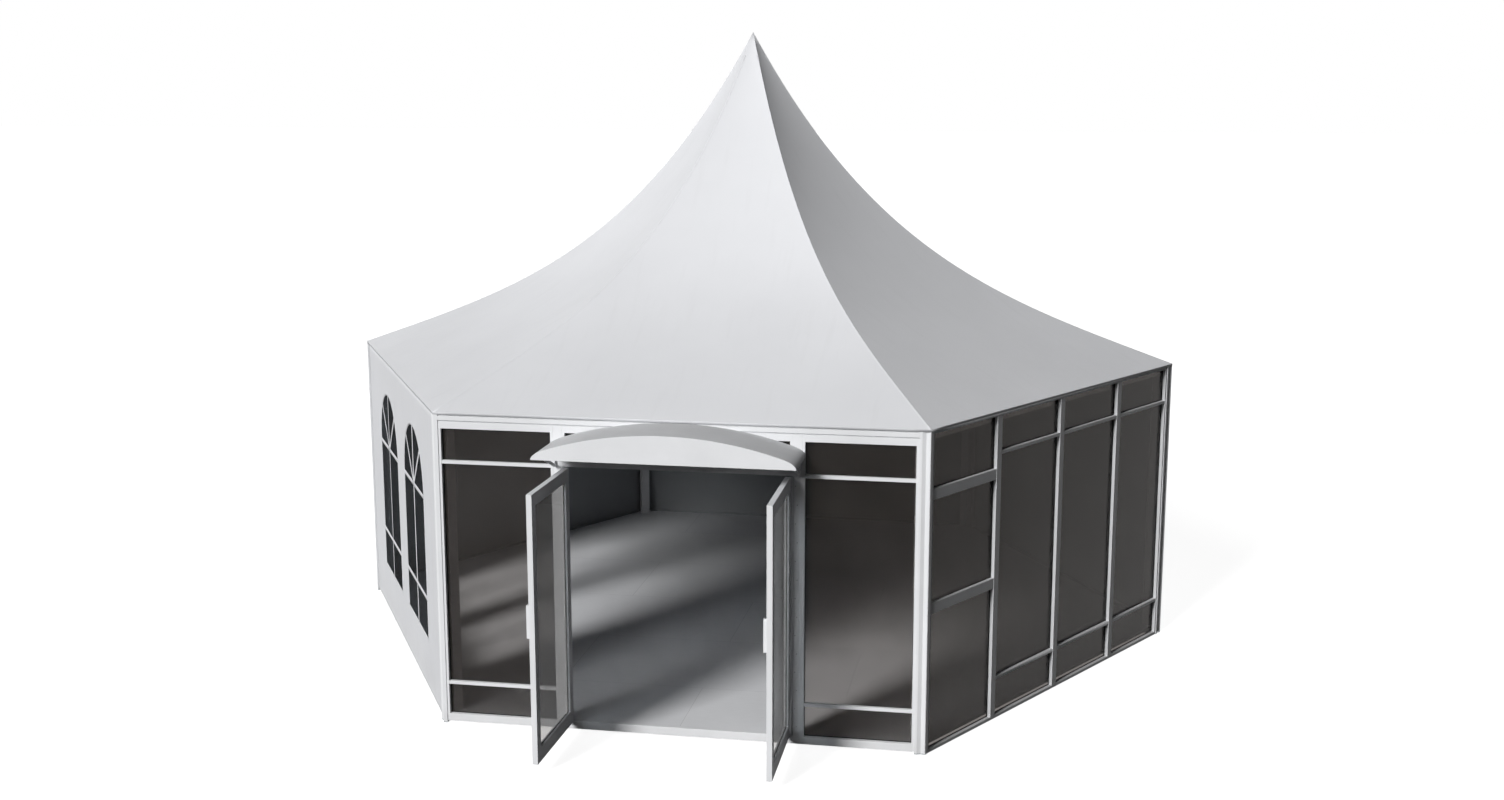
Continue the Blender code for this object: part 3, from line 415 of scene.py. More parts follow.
def wall_frame(wall):
    """The frame of a wall: its left corner from outside, X along it, Y inwards."""
    angle = FRONT_LEFT_ANGLE + 2 * pi * wall / SIDES
    corner = Vector((SIDE_LENGTH * cos(angle), SIDE_LENGTH * sin(angle), 0))
    return Matrix.Translation(corner) @ Matrix.Rotation(2 * pi * wall / SIDES, 4, "Z")


def plain(name, mesh, finish, matrix=None):
    """A mesh in the scene with its place in its vertices."""
    if isinstance(mesh, bmesh.types.BMesh):
        data = bpy.data.meshes.new(name)
        mesh.to_mesh(data)
        mesh.free()
    else:
        data = mesh
        data.name = name
    if matrix is not None:
        data.transform(matrix)
    data.materials.clear()
    data.materials.append(finish)
    made = bpy.data.objects.new(name, data)
    scene.collection.objects.link(made)
    return made


def evaluated_mesh(piece):
    """What a piece's modifiers make of it, as a plain mesh."""
    depsgraph = bpy.context.evaluated_depsgraph_get()
    return bpy.data.meshes.new_from_object(
        piece.evaluated_get(depsgraph), preserve_all_data_layers=True, depsgraph=depsgraph
    )


def settled(piece):
    """Applies a piece's modifiers, so that its mesh is its final shape."""
    finish = piece.data.materials[0]
    data = evaluated_mesh(piece)
    piece.modifiers.clear()
    piece.data = data
    data.materials.clear()
    data.materials.append(finish)
    return piece


def thickened(piece, thickness):
    """Gives an open sheet its thickness, behind the side that its faces show."""
    solid = piece.modifiers.new("thickness", "SOLIDIFY")
    solid.thickness = thickness
    solid.offset = -1.0
    solid.use_even_offset = True
    return settled(piece)


def lined(piece):
    """Gives the side of a cloth that looks into the tent its grey light-proof coating."""
    piece.data.materials.append(LINING)
    middle = Vector((0, 0, EAVE_HEIGHT / 2))
    for face in piece.data.polygons:
        if face.normal.dot(face.center - middle) < 0:
            face.material_index = 1


def turned(points, clockwise=False):
    """An outline's points in the asked order of turning."""
    area = sum(a[0] * b[1] - b[0] * a[1] for a, b in zip(points, points[1:] + points[:1]))
    return list(reversed(points)) if (area < 0) != clockwise else list(points)


def slab(mesh, loops, start, end):
    """Adds an upright outline with holes, (along, height), between two depths behind a wall."""
    loops = [turned(loops[0])] + [turned(hole, clockwise=True) for hole in loops[1:]]
    front, back = (
        [[mesh.verts.new((x, depth, z)) for x, z in loop] for loop in loops]
        for depth in (start, end)
    )
    flat = [[Vector((x, z, 0)) for x, z in loop] for loop in loops]
    low = [vert for ring in front for vert in ring]
    high = [vert for ring in back for vert in ring]
    for triangle in tessellate_polygon(flat):
        mesh.faces.new([low[k] for k in triangle])
        mesh.faces.new([high[k] for k in reversed(triangle)])
    for near, far in zip(front, back):
        for k in range(len(near)):
            n = (k + 1) % len(near)
            mesh.faces.new([near[k], near[n], far[n], far[k]])
    bmesh.ops.recalc_face_normals(mesh, faces=mesh.faces)


def rectangle(left, low, right, high):
    """The corners of a rectangle, in turn."""
    return [(left, low), (right, low), (right, high), (left, high)]


# Roof membrane

LIP_HEIGHT = 0.02
ROOF_RISE_SHARES = (0.4718, -0.0817, 0.4078, 0.2021)
ROOF_DISH_SHARE = 0.035
ROOF_RINGS = 64
FACET_STRIPS = 24
# six gores, 4 m wide and about 4.9 m long with the lip
TIP_TAKE_UP = 0.05


def rise(run_share):
    """Height above the eave, at a share of the way from the corner to the axis."""
    total = sum(
        share * run_share**power for power, share in enumerate(ROOF_RISE_SHARES, start=1)
    )
    return total * (PEAK_HEIGHT - EAVE_HEIGHT)


def roof_point(reach_share, corner, along):
    """A point of the membrane: along runs from one hip at 0 to the next at 1."""
    radius = reach_share * SIDE_LENGTH
    angle = FRONT_LEFT_ANGLE + 2 * pi * corner / SIDES
    here = Vector((cos(angle), sin(angle)))
    there = Vector((cos(angle + 2 * pi / SIDES), sin(angle + 2 * pi / SIDES)))
    sag = 4 * along * (1 - along) * ROOF_DISH_SHARE * radius * (1 - reach_share)
    plan = (here * (1 - along) + there * along) * radius - (here + there).normalized() * sag
    return Vector((plan.x, plan.y, EAVE_HEIGHT + rise(1 - reach_share)))


def slope_lengths():
    """Distance up the middle of a facet at each ring, for the cloth's own map."""
    points = [roof_point(1 - k / ROOF_RINGS, 0, 0.5) for k in range(ROOF_RINGS)]
    lengths = [0.0]
    for a, b in zip(points, points[1:]):
        lengths.append(lengths[-1] + (b - a).length)
    return lengths


def roof_skin():
    """The stretched membrane in six dished facets, its lip turned down over the walls."""
    mesh = bmesh.new()
    cloth = mesh.loops.layers.uv.new("cloth")
    lengths = slope_lengths()
    tip = mesh.verts.new((0, 0, PEAK_HEIGHT))
    hip_lines = [
        [mesh.verts.new(roof_point(1 - k / ROOF_RINGS, corner, 0)) for k in range(ROOF_RINGS)]
        for corner in range(SIDES)
    ]
    lips = {}

    def lip_of(vert):
        """The point of the lip below a point of the eave, made once."""
        if vert not in lips:
            lips[vert] = mesh.verts.new((vert.co.x, vert.co.y, EAVE_HEIGHT - LIP_HEIGHT))
        return lips[vert]

    def spot(k, strip):
        """Place on the cloth of ring k and a strip's edge, from the facet's middle line."""
        width = (1 - k / ROOF_RINGS) * SIDE_LENGTH
        return ((strip / FACET_STRIPS - 0.5) * width, lengths[k])

    def face(verts, places):
        """A smooth face with its corners' places on the cloth."""
        made = mesh.faces.new(verts)
        made.smooth = True
        for loop, place in zip(made.loops, places):
            loop[cloth].uv = place

    for corner in range(SIDES):
        rows = []
        for k in range(ROOF_RINGS):
            reach = 1 - k / ROOF_RINGS
            row = [hip_lines[corner][k]]
            for strip in range(1, FACET_STRIPS):
                row.append(mesh.verts.new(roof_point(reach, corner, strip / FACET_STRIPS)))
            row.append(hip_lines[(corner + 1) % SIDES][k])
            rows.append(row)
        for strip in range(FACET_STRIPS):
            far = strip + 1
            for k, (low, high) in enumerate(zip(rows, rows[1:])):
                face(
                    [low[strip], low[far], high[far], high[strip]],
                    [spot(k, strip), spot(k, far), spot(k + 1, far), spot(k + 1, strip)],
                )
            top = rows[-1]
            last = ROOF_RINGS - 1
            face(
                [top[strip], top[far], tip],
                [spot(last, strip), spot(last, far), (0.0, lengths[-1] + TIP_TAKE_UP)],
            )
            eave = rows[0]
            left, right = spot(0, strip), spot(0, far)
            face(
                [lip_of(eave[strip]), lip_of(eave[far]), eave[far], eave[strip]],
                [(left[0], -LIP_HEIGHT), (right[0], -LIP_HEIGHT), right, left],
            )
    for line in hip_lines:
        for a, b in zip(line, line[1:]):
            mesh.edges.get((a, b)).smooth = False
    for vert, low in lips.items():
        for edge in vert.link_edges:
            if edge.other_vert(vert) in lips:
                edge.smooth = False
    skin = plain("roof_skin", mesh, MEMBRANE)
    return thickened(skin, FABRIC_THICKNESS)


roof = roof_skin()
lined(roof)
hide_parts("roof_membrane")
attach(roof, "frame")

# Welded laps on the hips

WELD_WIDTH = 0.03
WELD_PROUD = 0.5 * MM
WELD_THICKNESS = 0.4 * MM
WELD_FLAT_SHARE = 0.93
WELD_EDGE_SHARE = 0.2
WELD_MOST_SHARE = 0.3
NORMAL_STEP_SHARE = 0.004
BESIDE_HIP_SHARE = 0.02
CLEAR_OF_HIP_SHARE = 0.01


def roof_normal(reach, corner, along):
    """Outward normal of the membrane, clear of its hips."""
    step = NORMAL_STEP_SHARE
    across = roof_point(reach, corner, along + step) - roof_point(reach, corner, along - step)
    up = roof_point(reach - step, corner, along) - roof_point(reach, corner, along)
    return across.cross(up).normalized()


def hip_welds():
    """The welded laps that join the facets along the six hips."""
    mesh = bmesh.new()
    cloth = mesh.loops.layers.uv.new("cloth")
    lengths = slope_lengths()
    for corner in range(SIDES):
        rows = []
        for k in range(ROOF_RINGS - 1):
            reach = 1 - k / ROOF_RINGS
            side = reach * SIDE_LENGTH
            share = min(WELD_WIDTH / 2 / side, WELD_MOST_SHARE)
            before = (corner - 1) % SIDES
            points = (
                (before, 1 - share, WELD_PROUD * WELD_EDGE_SHARE),
                (before, 1 - share * WELD_FLAT_SHARE, WELD_PROUD),
                (corner, 0.0, WELD_PROUD),
                (corner, share * WELD_FLAT_SHARE, WELD_PROUD),
                (corner, share, WELD_PROUD * WELD_EDGE_SHARE),
            )
            row = []
            for facet, along, proud in points:
                if along == 0.0:
                    # on the hip, halfway between the normals of the two facets
                    ahead = roof_normal(reach, corner, BESIDE_HIP_SHARE)
                    behind = roof_normal(reach, before, 1 - BESIDE_HIP_SHARE)
                    normal = (ahead + behind).normalized()
                else:
                    clear = min(max(along, CLEAR_OF_HIP_SHARE), 1 - CLEAR_OF_HIP_SHARE)
                    normal = roof_normal(reach, facet, clear)
                row.append(mesh.verts.new(roof_point(reach, facet, along) + normal * proud))
            rows.append(row)
        for k, (row, upper) in enumerate(zip(rows, rows[1:])):
            for n in range(len(row) - 1):
                made = mesh.faces.new([row[n], row[n + 1], upper[n + 1], upper[n]])
                made.smooth = True
                steps = ((n, k), (n + 1, k), (n + 1, k + 1), (n, k + 1))
                for loop, (u, v) in zip(made.loops, steps):
                    loop[cloth].uv = (u * WELD_WIDTH / 4, lengths[v])
            for n in range(1, len(row) - 1):
                mesh.edges.get((row[n], upper[n])).smooth = False
    return thickened(plain("roof_hip_welds", mesh, MEMBRANE), WELD_THICKNESS)


welds = hip_welds()
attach(welds, "frame")

# Fabric walls: depths run inwards from the line between the corners

CLOTH_DEPTH = 0.0134
BOW = 0.9 * MM
PULL = 0.35 * MM
HEM_TOP = 0.095
HEM_WAVE = 0.6 * MM
# section of the hem pocket round its bar: depth, height
HEM_PROFILE = (
    (0.0122, 0.084),
    (0.0110, 0.070),
    (0.0108, 0.050),
    (0.0116, 0.034),
    (0.0145, 0.0245),
    (0.0190, 0.0222),
    (0.0240, 0.0226),
    (0.0285, 0.0260),
    (0.0308, 0.036),
    (0.0306, 0.054),
    (0.0280, 0.072),
    (0.0200, 0.086),
    (0.0152, 0.094),
)
CLOTH_COLUMNS = 72
CLOTH_ROWS = 40


def cloth_depth(along, height, seed):
    """Depth of the tight cloth: it bows a little between its edges and pulls from its corners."""
    run = (along - PANEL_LEFT) / (PANEL_RIGHT - PANEL_LEFT)
    lift = (height - GROUND_GAP) / (WALL_TOP - GROUND_GAP)
    edge = min(1.0, 8 * run, 8 * (1 - run), 6 * (1 - lift), 6 * lift)
    bow = noise.noise(Vector((along * 1.1, height * 0.7, seed)))
    pull = noise.noise(Vector((along * 3.4 + height * 0.6, height * 0.25, seed + 4.0)))
    return CLOTH_DEPTH + edge * (BOW * bow + PULL * pull)


def cloth_wall(name, wall):
    """One wall's cloth with its hem pocket, as a single sheet; gives it and its flat length."""
    mesh = bmesh.new()
    cloth = mesh.loops.layers.uv.new("cloth")
    columns = [
        PANEL_LEFT + (PANEL_RIGHT - PANEL_LEFT) * n / CLOTH_COLUMNS
        for n in range(CLOTH_COLUMNS + 1)
    ]
    rows = []
    for k in range(CLOTH_ROWS + 1):
        z = WALL_TOP - (WALL_TOP - HEM_TOP) * k / CLOTH_ROWS
        rows.append([mesh.verts.new((x, cloth_depth(x, z, wall), z)) for x in columns])
    for depth, z in HEM_PROFILE:
        row = []
        for top in rows[0]:
            wave = HEM_WAVE * noise.noise(Vector((top.co.x * 3, z * 9, wall)))
            row.append(mesh.verts.new((top.co.x, depth + wave, z)))
        rows.append(row)
    travelled = [0.0]
    for a, b in zip(rows, rows[1:]):
        travelled.append(travelled[-1] + (b[0].co - a[0].co).length)
    for k, (upper, lower) in enumerate(zip(rows, rows[1:])):
        for n in range(CLOTH_COLUMNS):
            made = mesh.faces.new([lower[n], lower[n + 1], upper[n + 1], upper[n]])
            made.smooth = True
            for loop, row in zip(made.loops, (k + 1, k + 1, k, k)):
                loop[cloth].uv = (loop.vert.co.x, -travelled[row])
    skin = plain(name, mesh, WALL_CLOTH)
    thickened(skin, FABRIC_THICKNESS)
    return skin, travelled[-1]


# Windows of the left wall

FAN_STEPS = 12
ARCH_STEPS = 40


def fan_pane(centre, number):
    """One pane of a window's fan head, between two radiating bars."""
    half_bar = WINDOW_BAR / 2
    wedge = pi / WINDOW_FAN_PANES
    start = number * wedge
    radius = WINDOW_HALF_WIDTH
    trim = asin(half_bar / radius)
    point = half_bar / sin(wedge / 2)
    middle = start + wedge / 2
    outline = [(centre + point * cos(middle), WINDOW_SPRING + point * sin(middle))]
    for step in range(FAN_STEPS + 1):
        angle = start + trim + (wedge - 2 * trim) * step / FAN_STEPS
        outline.append((centre + radius * cos(angle), WINDOW_SPRING + radius * sin(angle)))
    return outline


def window_holes(centre):
    """The openings of one arched window: four upright panes and the fan above them."""
    half_bar = WINDOW_BAR / 2
    rows = (
        (WINDOW_SILL, WINDOW_LOW_BAR - half_bar),
        (WINDOW_LOW_BAR + half_bar, WINDOW_SPRING - half_bar),
    )
    holes = []
    for low, high in rows:
        holes.append(rectangle(centre - WINDOW_HALF_WIDTH, low, centre - half_bar, high))
        holes.append(rectangle(centre + half_bar, low, centre + WINDOW_HALF_WIDTH, high))
    holes.extend(fan_pane(centre, number) for number in range(WINDOW_FAN_PANES))
    return holes


def arch(centre, grow):
    """Outline of a whole window, grown outwards."""
    radius = WINDOW_HALF_WIDTH + grow
    points = [(centre - radius, WINDOW_SILL - grow), (centre + radius, WINDOW_SILL - grow)]
    for step in range(ARCH_STEPS + 1):
        angle = pi * step / ARCH_STEPS
        points.append((centre + radius * cos(angle), WINDOW_SPRING + radius * sin(angle)))
    return points


CUT_DEPTH = 0.03
SURROUND_REACH = 0.03
SURROUND_GAP = 0.012
SURROUND_FRONT = 0.0112
SURROUND_BACK = 0.0136
FILM_LAP = 0.05
FILM_DEPTH = 0.0172
FILM_WAVE = 0.5 * MM
FILM_THICKNESS = 0.7 * MM
FILM_COLUMNS = 60
FILM_ROWS = 40


def left_cloth():
    """The left wall's cloth with its two windows cut out; gives it and its flat length."""
    skin, length = cloth_wall("left_wall_cloth", LEFT)
    cutter = bmesh.new()
    cutter.loops.layers.uv.new("cloth")
    for centre in WINDOW_CENTRES:
        for hole in window_holes(centre):
            slab(cutter, [hole], 0.0, CUT_DEPTH)
    tool = plain("window_cutter", cutter, WALL_CLOTH)
    change = skin.modifiers.new("windows", "BOOLEAN")
    change.operation = "DIFFERENCE"
    change.solver = "EXACT"
    change.object = tool
    settled(skin)
    bpy.data.objects.remove(tool, do_unlink=True)
    skin.data.transform(wall_frame(LEFT))
    return skin, length


def window_welds():
    """The weld bands where the film is joined to the cloth, round each window."""
    mesh = bmesh.new()
    mesh.loops.layers.uv.new("cloth")
    for centre in WINDOW_CENTRES:
        outlines = [arch(centre, SURROUND_REACH), arch(centre, SURROUND_GAP)]
        slab(mesh, outlines, SURROUND_FRONT, SURROUND_BACK)
    return plain("left_window_welds", mesh, WALL_CLOTH, wall_frame(LEFT))


def window_film():
    """One clear sheet behind both windows, not quite flat; gives it and its flat size."""
    mesh = bmesh.new()
    left = WINDOW_CENTRES[0] - WINDOW_HALF_WIDTH - FILM_LAP
    right = WINDOW_CENTRES[1] + WINDOW_HALF_WIDTH + FILM_LAP
    low = WINDOW_SILL - FILM_LAP
    high = WINDOW_SPRING + WINDOW_HALF_WIDTH + FILM_LAP
    rows = []
    for k in range(FILM_ROWS + 1):
        z = low + (high - low) * k / FILM_ROWS
        row = []
        for n in range(FILM_COLUMNS + 1):
            x = left + (right - left) * n / FILM_COLUMNS
            wave = noise.noise(Vector((x * 2.2, z * 1.3, 7.0)))
            row.append(mesh.verts.new((x, FILM_DEPTH + FILM_WAVE * wave, z)))
        rows.append(row)
    for lower, upper in zip(rows, rows[1:]):
        for n in range(FILM_COLUMNS):
            mesh.faces.new([lower[n], lower[n + 1], upper[n + 1], upper[n]]).smooth = True
    film = plain("left_window_sheet", mesh, FILM, wall_frame(LEFT))
    thickened(film, FILM_THICKNESS)
    return film, right - left, high - low


cloth, cloth_length = left_cloth()
lined(cloth)
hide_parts("left_wall_skin")
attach(cloth, "frame")
surrounds = window_welds()
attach(surrounds, "frame")
film, film_width, film_length = window_film()
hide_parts("left_window_film")
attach(film, "frame")
for wall, name in ((BACK_RIGHT, "back_right"), (BACK, "back"), (BACK_LEFT, "back_left")):
    skin, cloth_length = cloth_wall(f"{name}_wall_cloth", wall)
    skin.data.transform(wall_frame(wall))
    lined(skin)
    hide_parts(f"{name}_wall_skin")
    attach(skin, "frame")

# Glazing seals, swept by a node tree along the edge of each pane


def seal_tree():
    """Square seals, rounded at their corners, along wire loops; gives the tree and the
    identifiers of its width, corner radius and finish."""
    tree = bpy.data.node_groups.new("glazing_seal", "GeometryNodeTree")
    sockets = tree.interface
    sockets.new_socket("Loops", in_out="INPUT", socket_type="NodeSocketGeometry")
    width = sockets.new_socket("Width", in_out="INPUT", socket_type="NodeSocketFloat")
    corner = sockets.new_socket("Corner Radius", in_out="INPUT", socket_type="NodeSocketFloat")
    finish = sockets.new_socket("Finish", in_out="INPUT", socket_type="NodeSocketMaterial")
    sockets.new_socket("Seals", in_out="OUTPUT", socket_type="NodeSocketGeometry")
    given = add_node(tree, "NodeGroupInput").outputs
    curve = add_node(tree, "GeometryNodeMeshToCurve", {0: given["Loops"]})
    curve = add_node(
        tree,
        "GeometryNodeFilletCurve",
        {"Curve": curve.outputs[0], "Count": 3, "Radius": given["Corner Radius"]},
        mode="POLY",
    )
    profile = add_node(
        tree,
        "GeometryNodeCurvePrimitiveQuadrilateral",
        {"Width": given["Width"], "Height": given["Width"]},
    )
    swept = add_node(
        tree,
        "GeometryNodeCurveToMesh",
        {"Curve": curve.outputs[0], "Profile Curve": profile.outputs[0]},
    )
    real = add_node(tree, "GeometryNodeRealizeInstances", {0: swept.outputs[0]})
    done = add_node(
        tree, "GeometryNodeSetMaterial", {"Geometry": real.outputs[0], "Material": given["Finish"]}
    )
    add_node(tree, "NodeGroupOutput", {0: done.outputs[0]})
    return tree, width.identifier, corner.identifier, finish.identifier


SEAL_TREE, SEAL_WIDTH, SEAL_CORNER, SEAL_FINISH = seal_tree()


def seals(name, loops, width, body, matrix):
    """Seals along wire loops of (along, depth, height) points, on one body."""
    wires = bmesh.new()
    for loop in loops:
        verts = [wires.verts.new(point) for point in loop]
        for a, b in zip(verts, verts[1:] + verts[:1]):
            wires.edges.new((a, b))
    carrier = plain(f"{name}_path", wires, RUBBER)
    sweep = carrier.modifiers.new("seal", "NODES")
    sweep.node_group = SEAL_TREE
    sweep[SEAL_WIDTH] = width
    sweep[SEAL_CORNER] = width
    sweep[SEAL_FINISH] = RUBBER
    data = evaluated_mesh(carrier)
    bpy.data.objects.remove(carrier, do_unlink=True)
    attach(plain(name, data, RUBBER, matrix), body)


def pane_loops(left, low, right, high, depths, inset):
    """Loops just inside a pane's edge, one at each depth."""
    return [
        [
            (left + inset, depth, low + inset),
            (right - inset, depth, low + inset),
            (right - inset, depth, high - inset),
            (left + inset, depth, high - inset),
        ]
        for depth in depths
    ]


SEAL = 3 * MM
PANE_FRONT = 0.038
PANE_BACK = 0.046


def node_rectangle(name, matrix):
    """Extent of a node along, in depth and in height, in a frame."""
    inverse = matrix.inverted()
    points = [inverse @ vert.co for vert in nodes[name].data.vertices]
    return [
        (min(point[axis] for point in points), max(point[axis] for point in points))
        for axis in range(3)
    ]


def pane_seals():
    """The seals of the glazed walls, on both faces of each pane."""
    depths = (PANE_FRONT - SEAL / 2, PANE_BACK + SEAL / 2)
    for wall, names, label in (
        (FRONT, starting("front_pane", "over_door_pane"), "front_glazing_seals"),
        (RIGHT, starting("right_pane"), "right_glazing_seals"),
    ):
        matrix = wall_frame(wall)
        loops = []
        for name in names:
            (left, right), _, (low, high) = node_rectangle(name, matrix)
            loops += pane_loops(left, low, right, high, depths, SEAL / 2)
        seals(label, loops, SEAL, "frame", matrix)


pane_seals()

# Door leaves, as they stand at rest

DOOR_HALF = 0.93
HINGE_DEPTH = -0.006
REST_ANGLES = {"left": radians(91.2), "right": radians(90.7)}
LEAF_FACE = 0.012


def leaf_frame(side):
    """The frame on a leaf's hinge axis, turned with the leaf. X runs to the free edge on the
    left leaf and away from it on the right one."""
    hand = 1 if side == "left" else -1
    axis = wall_frame(FRONT) @ Matrix.Translation(
        (SIDE_LENGTH / 2 - hand * DOOR_HALF, HINGE_DEPTH, 0)
    )
    return axis, axis @ Matrix.Rotation(-hand * REST_ANGLES[side], 4, "Z"), hand


def leaf_seals():
    """The seals of both leaves' panes."""
    for side in ("left", "right"):
        _, matrix, _ = leaf_frame(side)
        (left, right), (near, far), (low, high) = node_rectangle(f"door_glass_{side}", matrix)
        depths = (near - SEAL / 2, far + SEAL / 2)
        loops = pane_loops(left, low, right, high, depths, SEAL / 2)
        seals(f"{side}_leaf_glazing_seals", loops, SEAL, f"{side}_leaf", matrix)


leaf_seals()

# Hinge screws, set by a node tree

SCREW_RADIUS = 4.5 * MM
SCREW_FACETS = 16
CROWN_SHARE = 0.8
CROWN_RISE_SHARE = 0.22
SLOT_REACH_SHARE = 0.5
SLOT_WIDTH_SHARE = 0.16
SLOT_RISE_SHARE = 0.24
SLOT_FLOOR_RISE_SHARE = 0.02
SLOT_FLOOR_SHARE = 0.8


def screw_mesh():
    """A countersunk screw head with a cross slot, facing -Y."""
    mesh = bmesh.new()
    facets = SCREW_FACETS

    def ring(reaches, rise_share):
        """Points round the screw's axis at these shares of its radius."""
        made = []
        for k, reach in enumerate(reaches):
            angle = 2 * pi * k / facets
            x, z = SCREW_RADIUS * reach * cos(angle), SCREW_RADIUS * reach * sin(angle)
            made.append(mesh.verts.new((x, -SCREW_RADIUS * rise_share, z)))
        return made

    slot = [SLOT_WIDTH_SHARE if k % 4 else SLOT_REACH_SHARE for k in range(facets)]
    rim = ring([1.0] * facets, 0.0)
    crown = ring([CROWN_SHARE] * facets, CROWN_RISE_SHARE)
    inner = ring(slot, SLOT_RISE_SHARE)
    floor = ring([SLOT_FLOOR_SHARE * reach for reach in slot], SLOT_FLOOR_RISE_SHARE)
    for k in range(facets):
        n = (k + 1) % facets
        mesh.faces.new([rim[k], rim[n], crown[n], crown[k]])
        mesh.faces.new([crown[k], crown[n], inner[n], inner[k]])
        mesh.faces.new([inner[k], inner[n], floor[n], floor[k]])
    mesh.faces.new(floor)
    mesh.faces.new(list(reversed(rim)))
    bmesh.ops.recalc_face_normals(mesh, faces=mesh.faces)
    return mesh


def screw_tree(screw):
    """Screws on points, each turned its own way; gives the tree and the identifiers of its
    finish and size."""
    tree = bpy.data.node_groups.new("screw_row", "GeometryNodeTree")
    sockets = tree.interface
    sockets.new_socket("Points", in_out="INPUT", socket_type="NodeSocketGeometry")
    finish = sockets.new_socket("Finish", in_out="INPUT", socket_type="NodeSocketMaterial")
    size = sockets.new_socket("Size", in_out="INPUT", socket_type="NodeSocketFloat")
    sockets.new_socket("Screws", in_out="OUTPUT", socket_type="NodeSocketGeometry")
    given = add_node(tree, "NodeGroupInput").outputs
    head = add_node(tree, "GeometryNodeObjectInfo", {"Object": screw})
    turn = add_node(
        tree,
        "FunctionNodeRandomValue",
        {"Min": (0.0, 0.0, 0.0), "Max": (0.0, 2 * pi, 0.0), "Seed": 5},
        data_type="FLOAT_VECTOR",
    )
    placed = add_node(
        tree,
        "GeometryNodeInstanceOnPoints",
        {
            "Points": given["Points"],
            "Instance": head.outputs["Geometry"],
            "Rotation": turn.outputs[0],
            "Scale": given["Size"],
        },
    )
    real = add_node(tree, "GeometryNodeRealizeInstances", {0: placed.outputs[0]})
    done = add_node(
        tree, "GeometryNodeSetMaterial", {"Geometry": real.outputs[0], "Material": given["Finish"]}
    )
    add_node(tree, "NodeGroupOutput", {0: done.outputs[0]})
    return tree, finish.identifier, size.identifier


SCREW = plain("screw_pattern", screw_mesh(), ZINC)
SCREW_TREE, SCREW_FINISH, SCREW_SIZE = screw_tree(SCREW)


def screws(name, points, body, matrix):
    """A row of screws at (along, depth, height) points, facing out of a frame."""
    spots = bmesh.new()
    for point in points:
        spots.verts.new(point)
    carrier = plain(f"{name}_points", spots, ZINC)
    row = carrier.modifiers.new("screws", "NODES")
    row.node_group = SCREW_TREE
    row[SCREW_FINISH] = ZINC
    row[SCREW_SIZE] = 1.0
    data = evaluated_mesh(carrier)
    bpy.data.objects.remove(carrier, do_unlink=True)
    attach(plain(name, data, ZINC, matrix), body)


HINGE_SCREWS = 14
HINGE_SCREW_REACHES = (0.038, 0.024)
HINGE_PROUD = 0.0033


def hinge_screws():
    """Screws in zigzag down both halves of each leaf's hinge."""
    for side in ("left", "right"):
        axis, turned_axis, hand = leaf_frame(side)
        _, _, (low, high) = node_rectangle(f"door_leaf_{side}", axis)
        spacing = (high - low) / HINGE_SCREWS
        for part, matrix, way, body in (
            ("post", axis, -hand, "frame"),
            ("leaf", turned_axis, hand, f"{side}_leaf"),
        ):
            points = []
            for k in range(HINGE_SCREWS):
                along = way * HINGE_SCREW_REACHES[k % 2]
                points.append((along, LEAF_FACE - HINGE_PROUD, low + (k + 0.5) * spacing))
            screws(f"hinge_screws_{part}_{side}", points, body, matrix)


hinge_screws()
bpy.data.objects.remove(SCREW, do_unlink=True)

# Stage, light and camera

STAGE_REACH = 150.0
STAGE_DROP = 1 * MM
FLOOR_SHADE = 0.45
FLOOR_GLOW = 0.9
FLOOR_BOUNCE = 0.04
AMBIENT = 0.025
KEY_STRENGTH = 3.6
KEY_AZIMUTH = 242.8
# elevation of each lamp of the key light, and its share of the light
KEY_LEVELS = ((21.0, 0.24), (29.0, 0.54), (38.0, 0.22))
KEY_SOFTNESS = radians(14)
BACK_STRENGTH = 1.4
BACK_DIRECTION = (90.0, 9.0)
BACK_SOFTNESS = radians(12)
FRONT_STRENGTH = 0.07
FRONT_DIRECTION = (268.0, 27.0)
FRONT_SOFTNESS = radians(20)
LAMP_DISTANCE = 20.0
PHOTO_WIDTH = 1504
FOCAL_PIXELS = 1710.68
SENSOR_WIDTH = 36.0
FARTHEST_SEEN = 500.0
EYE = (2.90688, -16.29736, 5.28848)
EYE_DOWN = 0.1872
EYE_TURN = 0.1772


def seen_directly(tree):
    """1 where the camera sees a thing plainly, in gloss or through glass; 0 for rays that light
    a surface, so that glass adds no light of its own indoors."""
    path = add_node(tree, "ShaderNodeLightPath").outputs
    seen = math(tree, "MAXIMUM", path["Is Camera Ray"], path["Is Glossy Ray"])
    seen = math(tree, "MAXIMUM", seen, path["Is Transmission Ray"])
    return math(tree, "MULTIPLY", seen, math(tree, "LESS_THAN", path["Diffuse Depth"], 0.5))


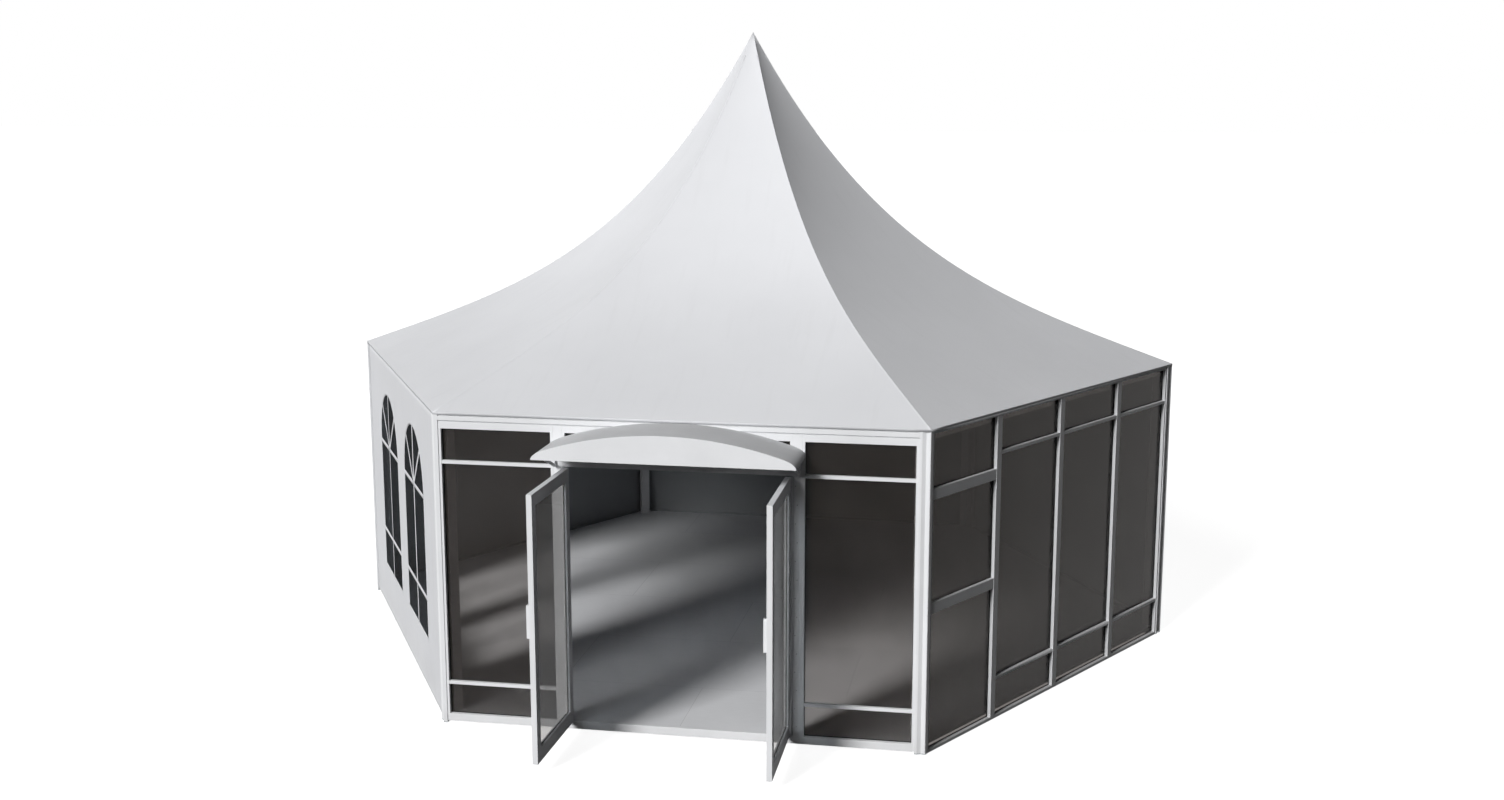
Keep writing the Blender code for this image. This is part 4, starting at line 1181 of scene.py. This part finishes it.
def stage_floor():
    """A plain pale floor that keeps the shadow and shows white to the camera and in gloss."""
    made = bpy.data.materials.new("pale_floor")
    made.use_nodes = True
    tree = made.node_tree
    tree.nodes.remove(tree.nodes["Principled BSDF"])
    seen = seen_directly(tree)
    pale = add_node(tree, "ShaderNodeBsdfDiffuse", {"Color": grey(FLOOR_SHADE)})
    glow = add_node(tree, "ShaderNodeEmission", {"Color": grey(1.0), "Strength": FLOOR_GLOW})
    lit = add_node(tree, "ShaderNodeAddShader", {0: pale.outputs[0], 1: glow.outputs[0]})
    dull = add_node(tree, "ShaderNodeBsdfDiffuse", {"Color": grey(FLOOR_BOUNCE)})
    both = add_node(
        tree, "ShaderNodeMixShader", {0: seen, 1: dull.outputs[0], 2: lit.outputs[0]}
    )
    tree.links.new(both.outputs[0], tree.nodes["Material Output"].inputs["Surface"])
    mesh = bmesh.new()
    corners = rectangle(-STAGE_REACH, -STAGE_REACH, STAGE_REACH, STAGE_REACH)
    mesh.faces.new([mesh.verts.new((x, y, -STAGE_DROP)) for x, y in corners])
    floor = plain("stage_floor", mesh, made)


def sun(name, strength, direction, softness):
    """A sun lamp that shines from an azimuth and an elevation, in degrees."""
    data = bpy.data.lights.new(name, "SUN")
    data.energy = strength
    data.angle = softness
    # light through glass is counted once, by the clear side that glass shows to lamps
    data.cycles.use_multiple_importance_sampling = False
    lamp = bpy.data.objects.new(name, data)
    azimuth, elevation = (radians(value) for value in direction)
    level = cos(elevation)
    source = Vector((cos(azimuth) * level, sin(azimuth) * level, sin(elevation)))
    lamp.rotation_euler = source.to_track_quat("Z", "Y").to_euler()
    lamp.location = source * LAMP_DISTANCE
    scene.collection.objects.link(lamp)


def surroundings():
    """White behind the object and in its gloss, and a weak even light on it."""
    world = bpy.data.worlds.new("studio")
    world.use_nodes = True
    tree = world.node_tree
    level = add_node(
        tree, "ShaderNodeMapRange", {0: seen_directly(tree), 3: AMBIENT, 4: 1.0}
    )
    back = tree.nodes["Background"]
    back.inputs["Color"].default_value = grey(1.0)
    tree.links.new(level.outputs[0], back.inputs["Strength"])
    scene.world = world


def camera():
    """The photograph's view, solved from the corners of the plan."""
    data = bpy.data.cameras.new("camera")
    data.sensor_width = SENSOR_WIDTH
    data.lens = FOCAL_PIXELS / PHOTO_WIDTH * SENSOR_WIDTH
    data.clip_end = FARTHEST_SEEN
    eye = bpy.data.objects.new("camera", data)
    eye.location = EYE
    eye.rotation_euler = (pi / 2 - EYE_DOWN, 0.0, EYE_TURN)
    scene.collection.objects.link(eye)
    scene.camera = eye


stage_floor()
# a tall soft light: three lamps, one over the other
for elevation, share in KEY_LEVELS:
    sun("key", KEY_STRENGTH * share, (KEY_AZIMUTH, elevation), KEY_SOFTNESS)
sun("back_fill", BACK_STRENGTH, BACK_DIRECTION, BACK_SOFTNESS)
sun("front_fill", FRONT_STRENGTH, FRONT_DIRECTION, FRONT_SOFTNESS)
surroundings()
camera()
scene.view_settings.view_transform = "Standard"
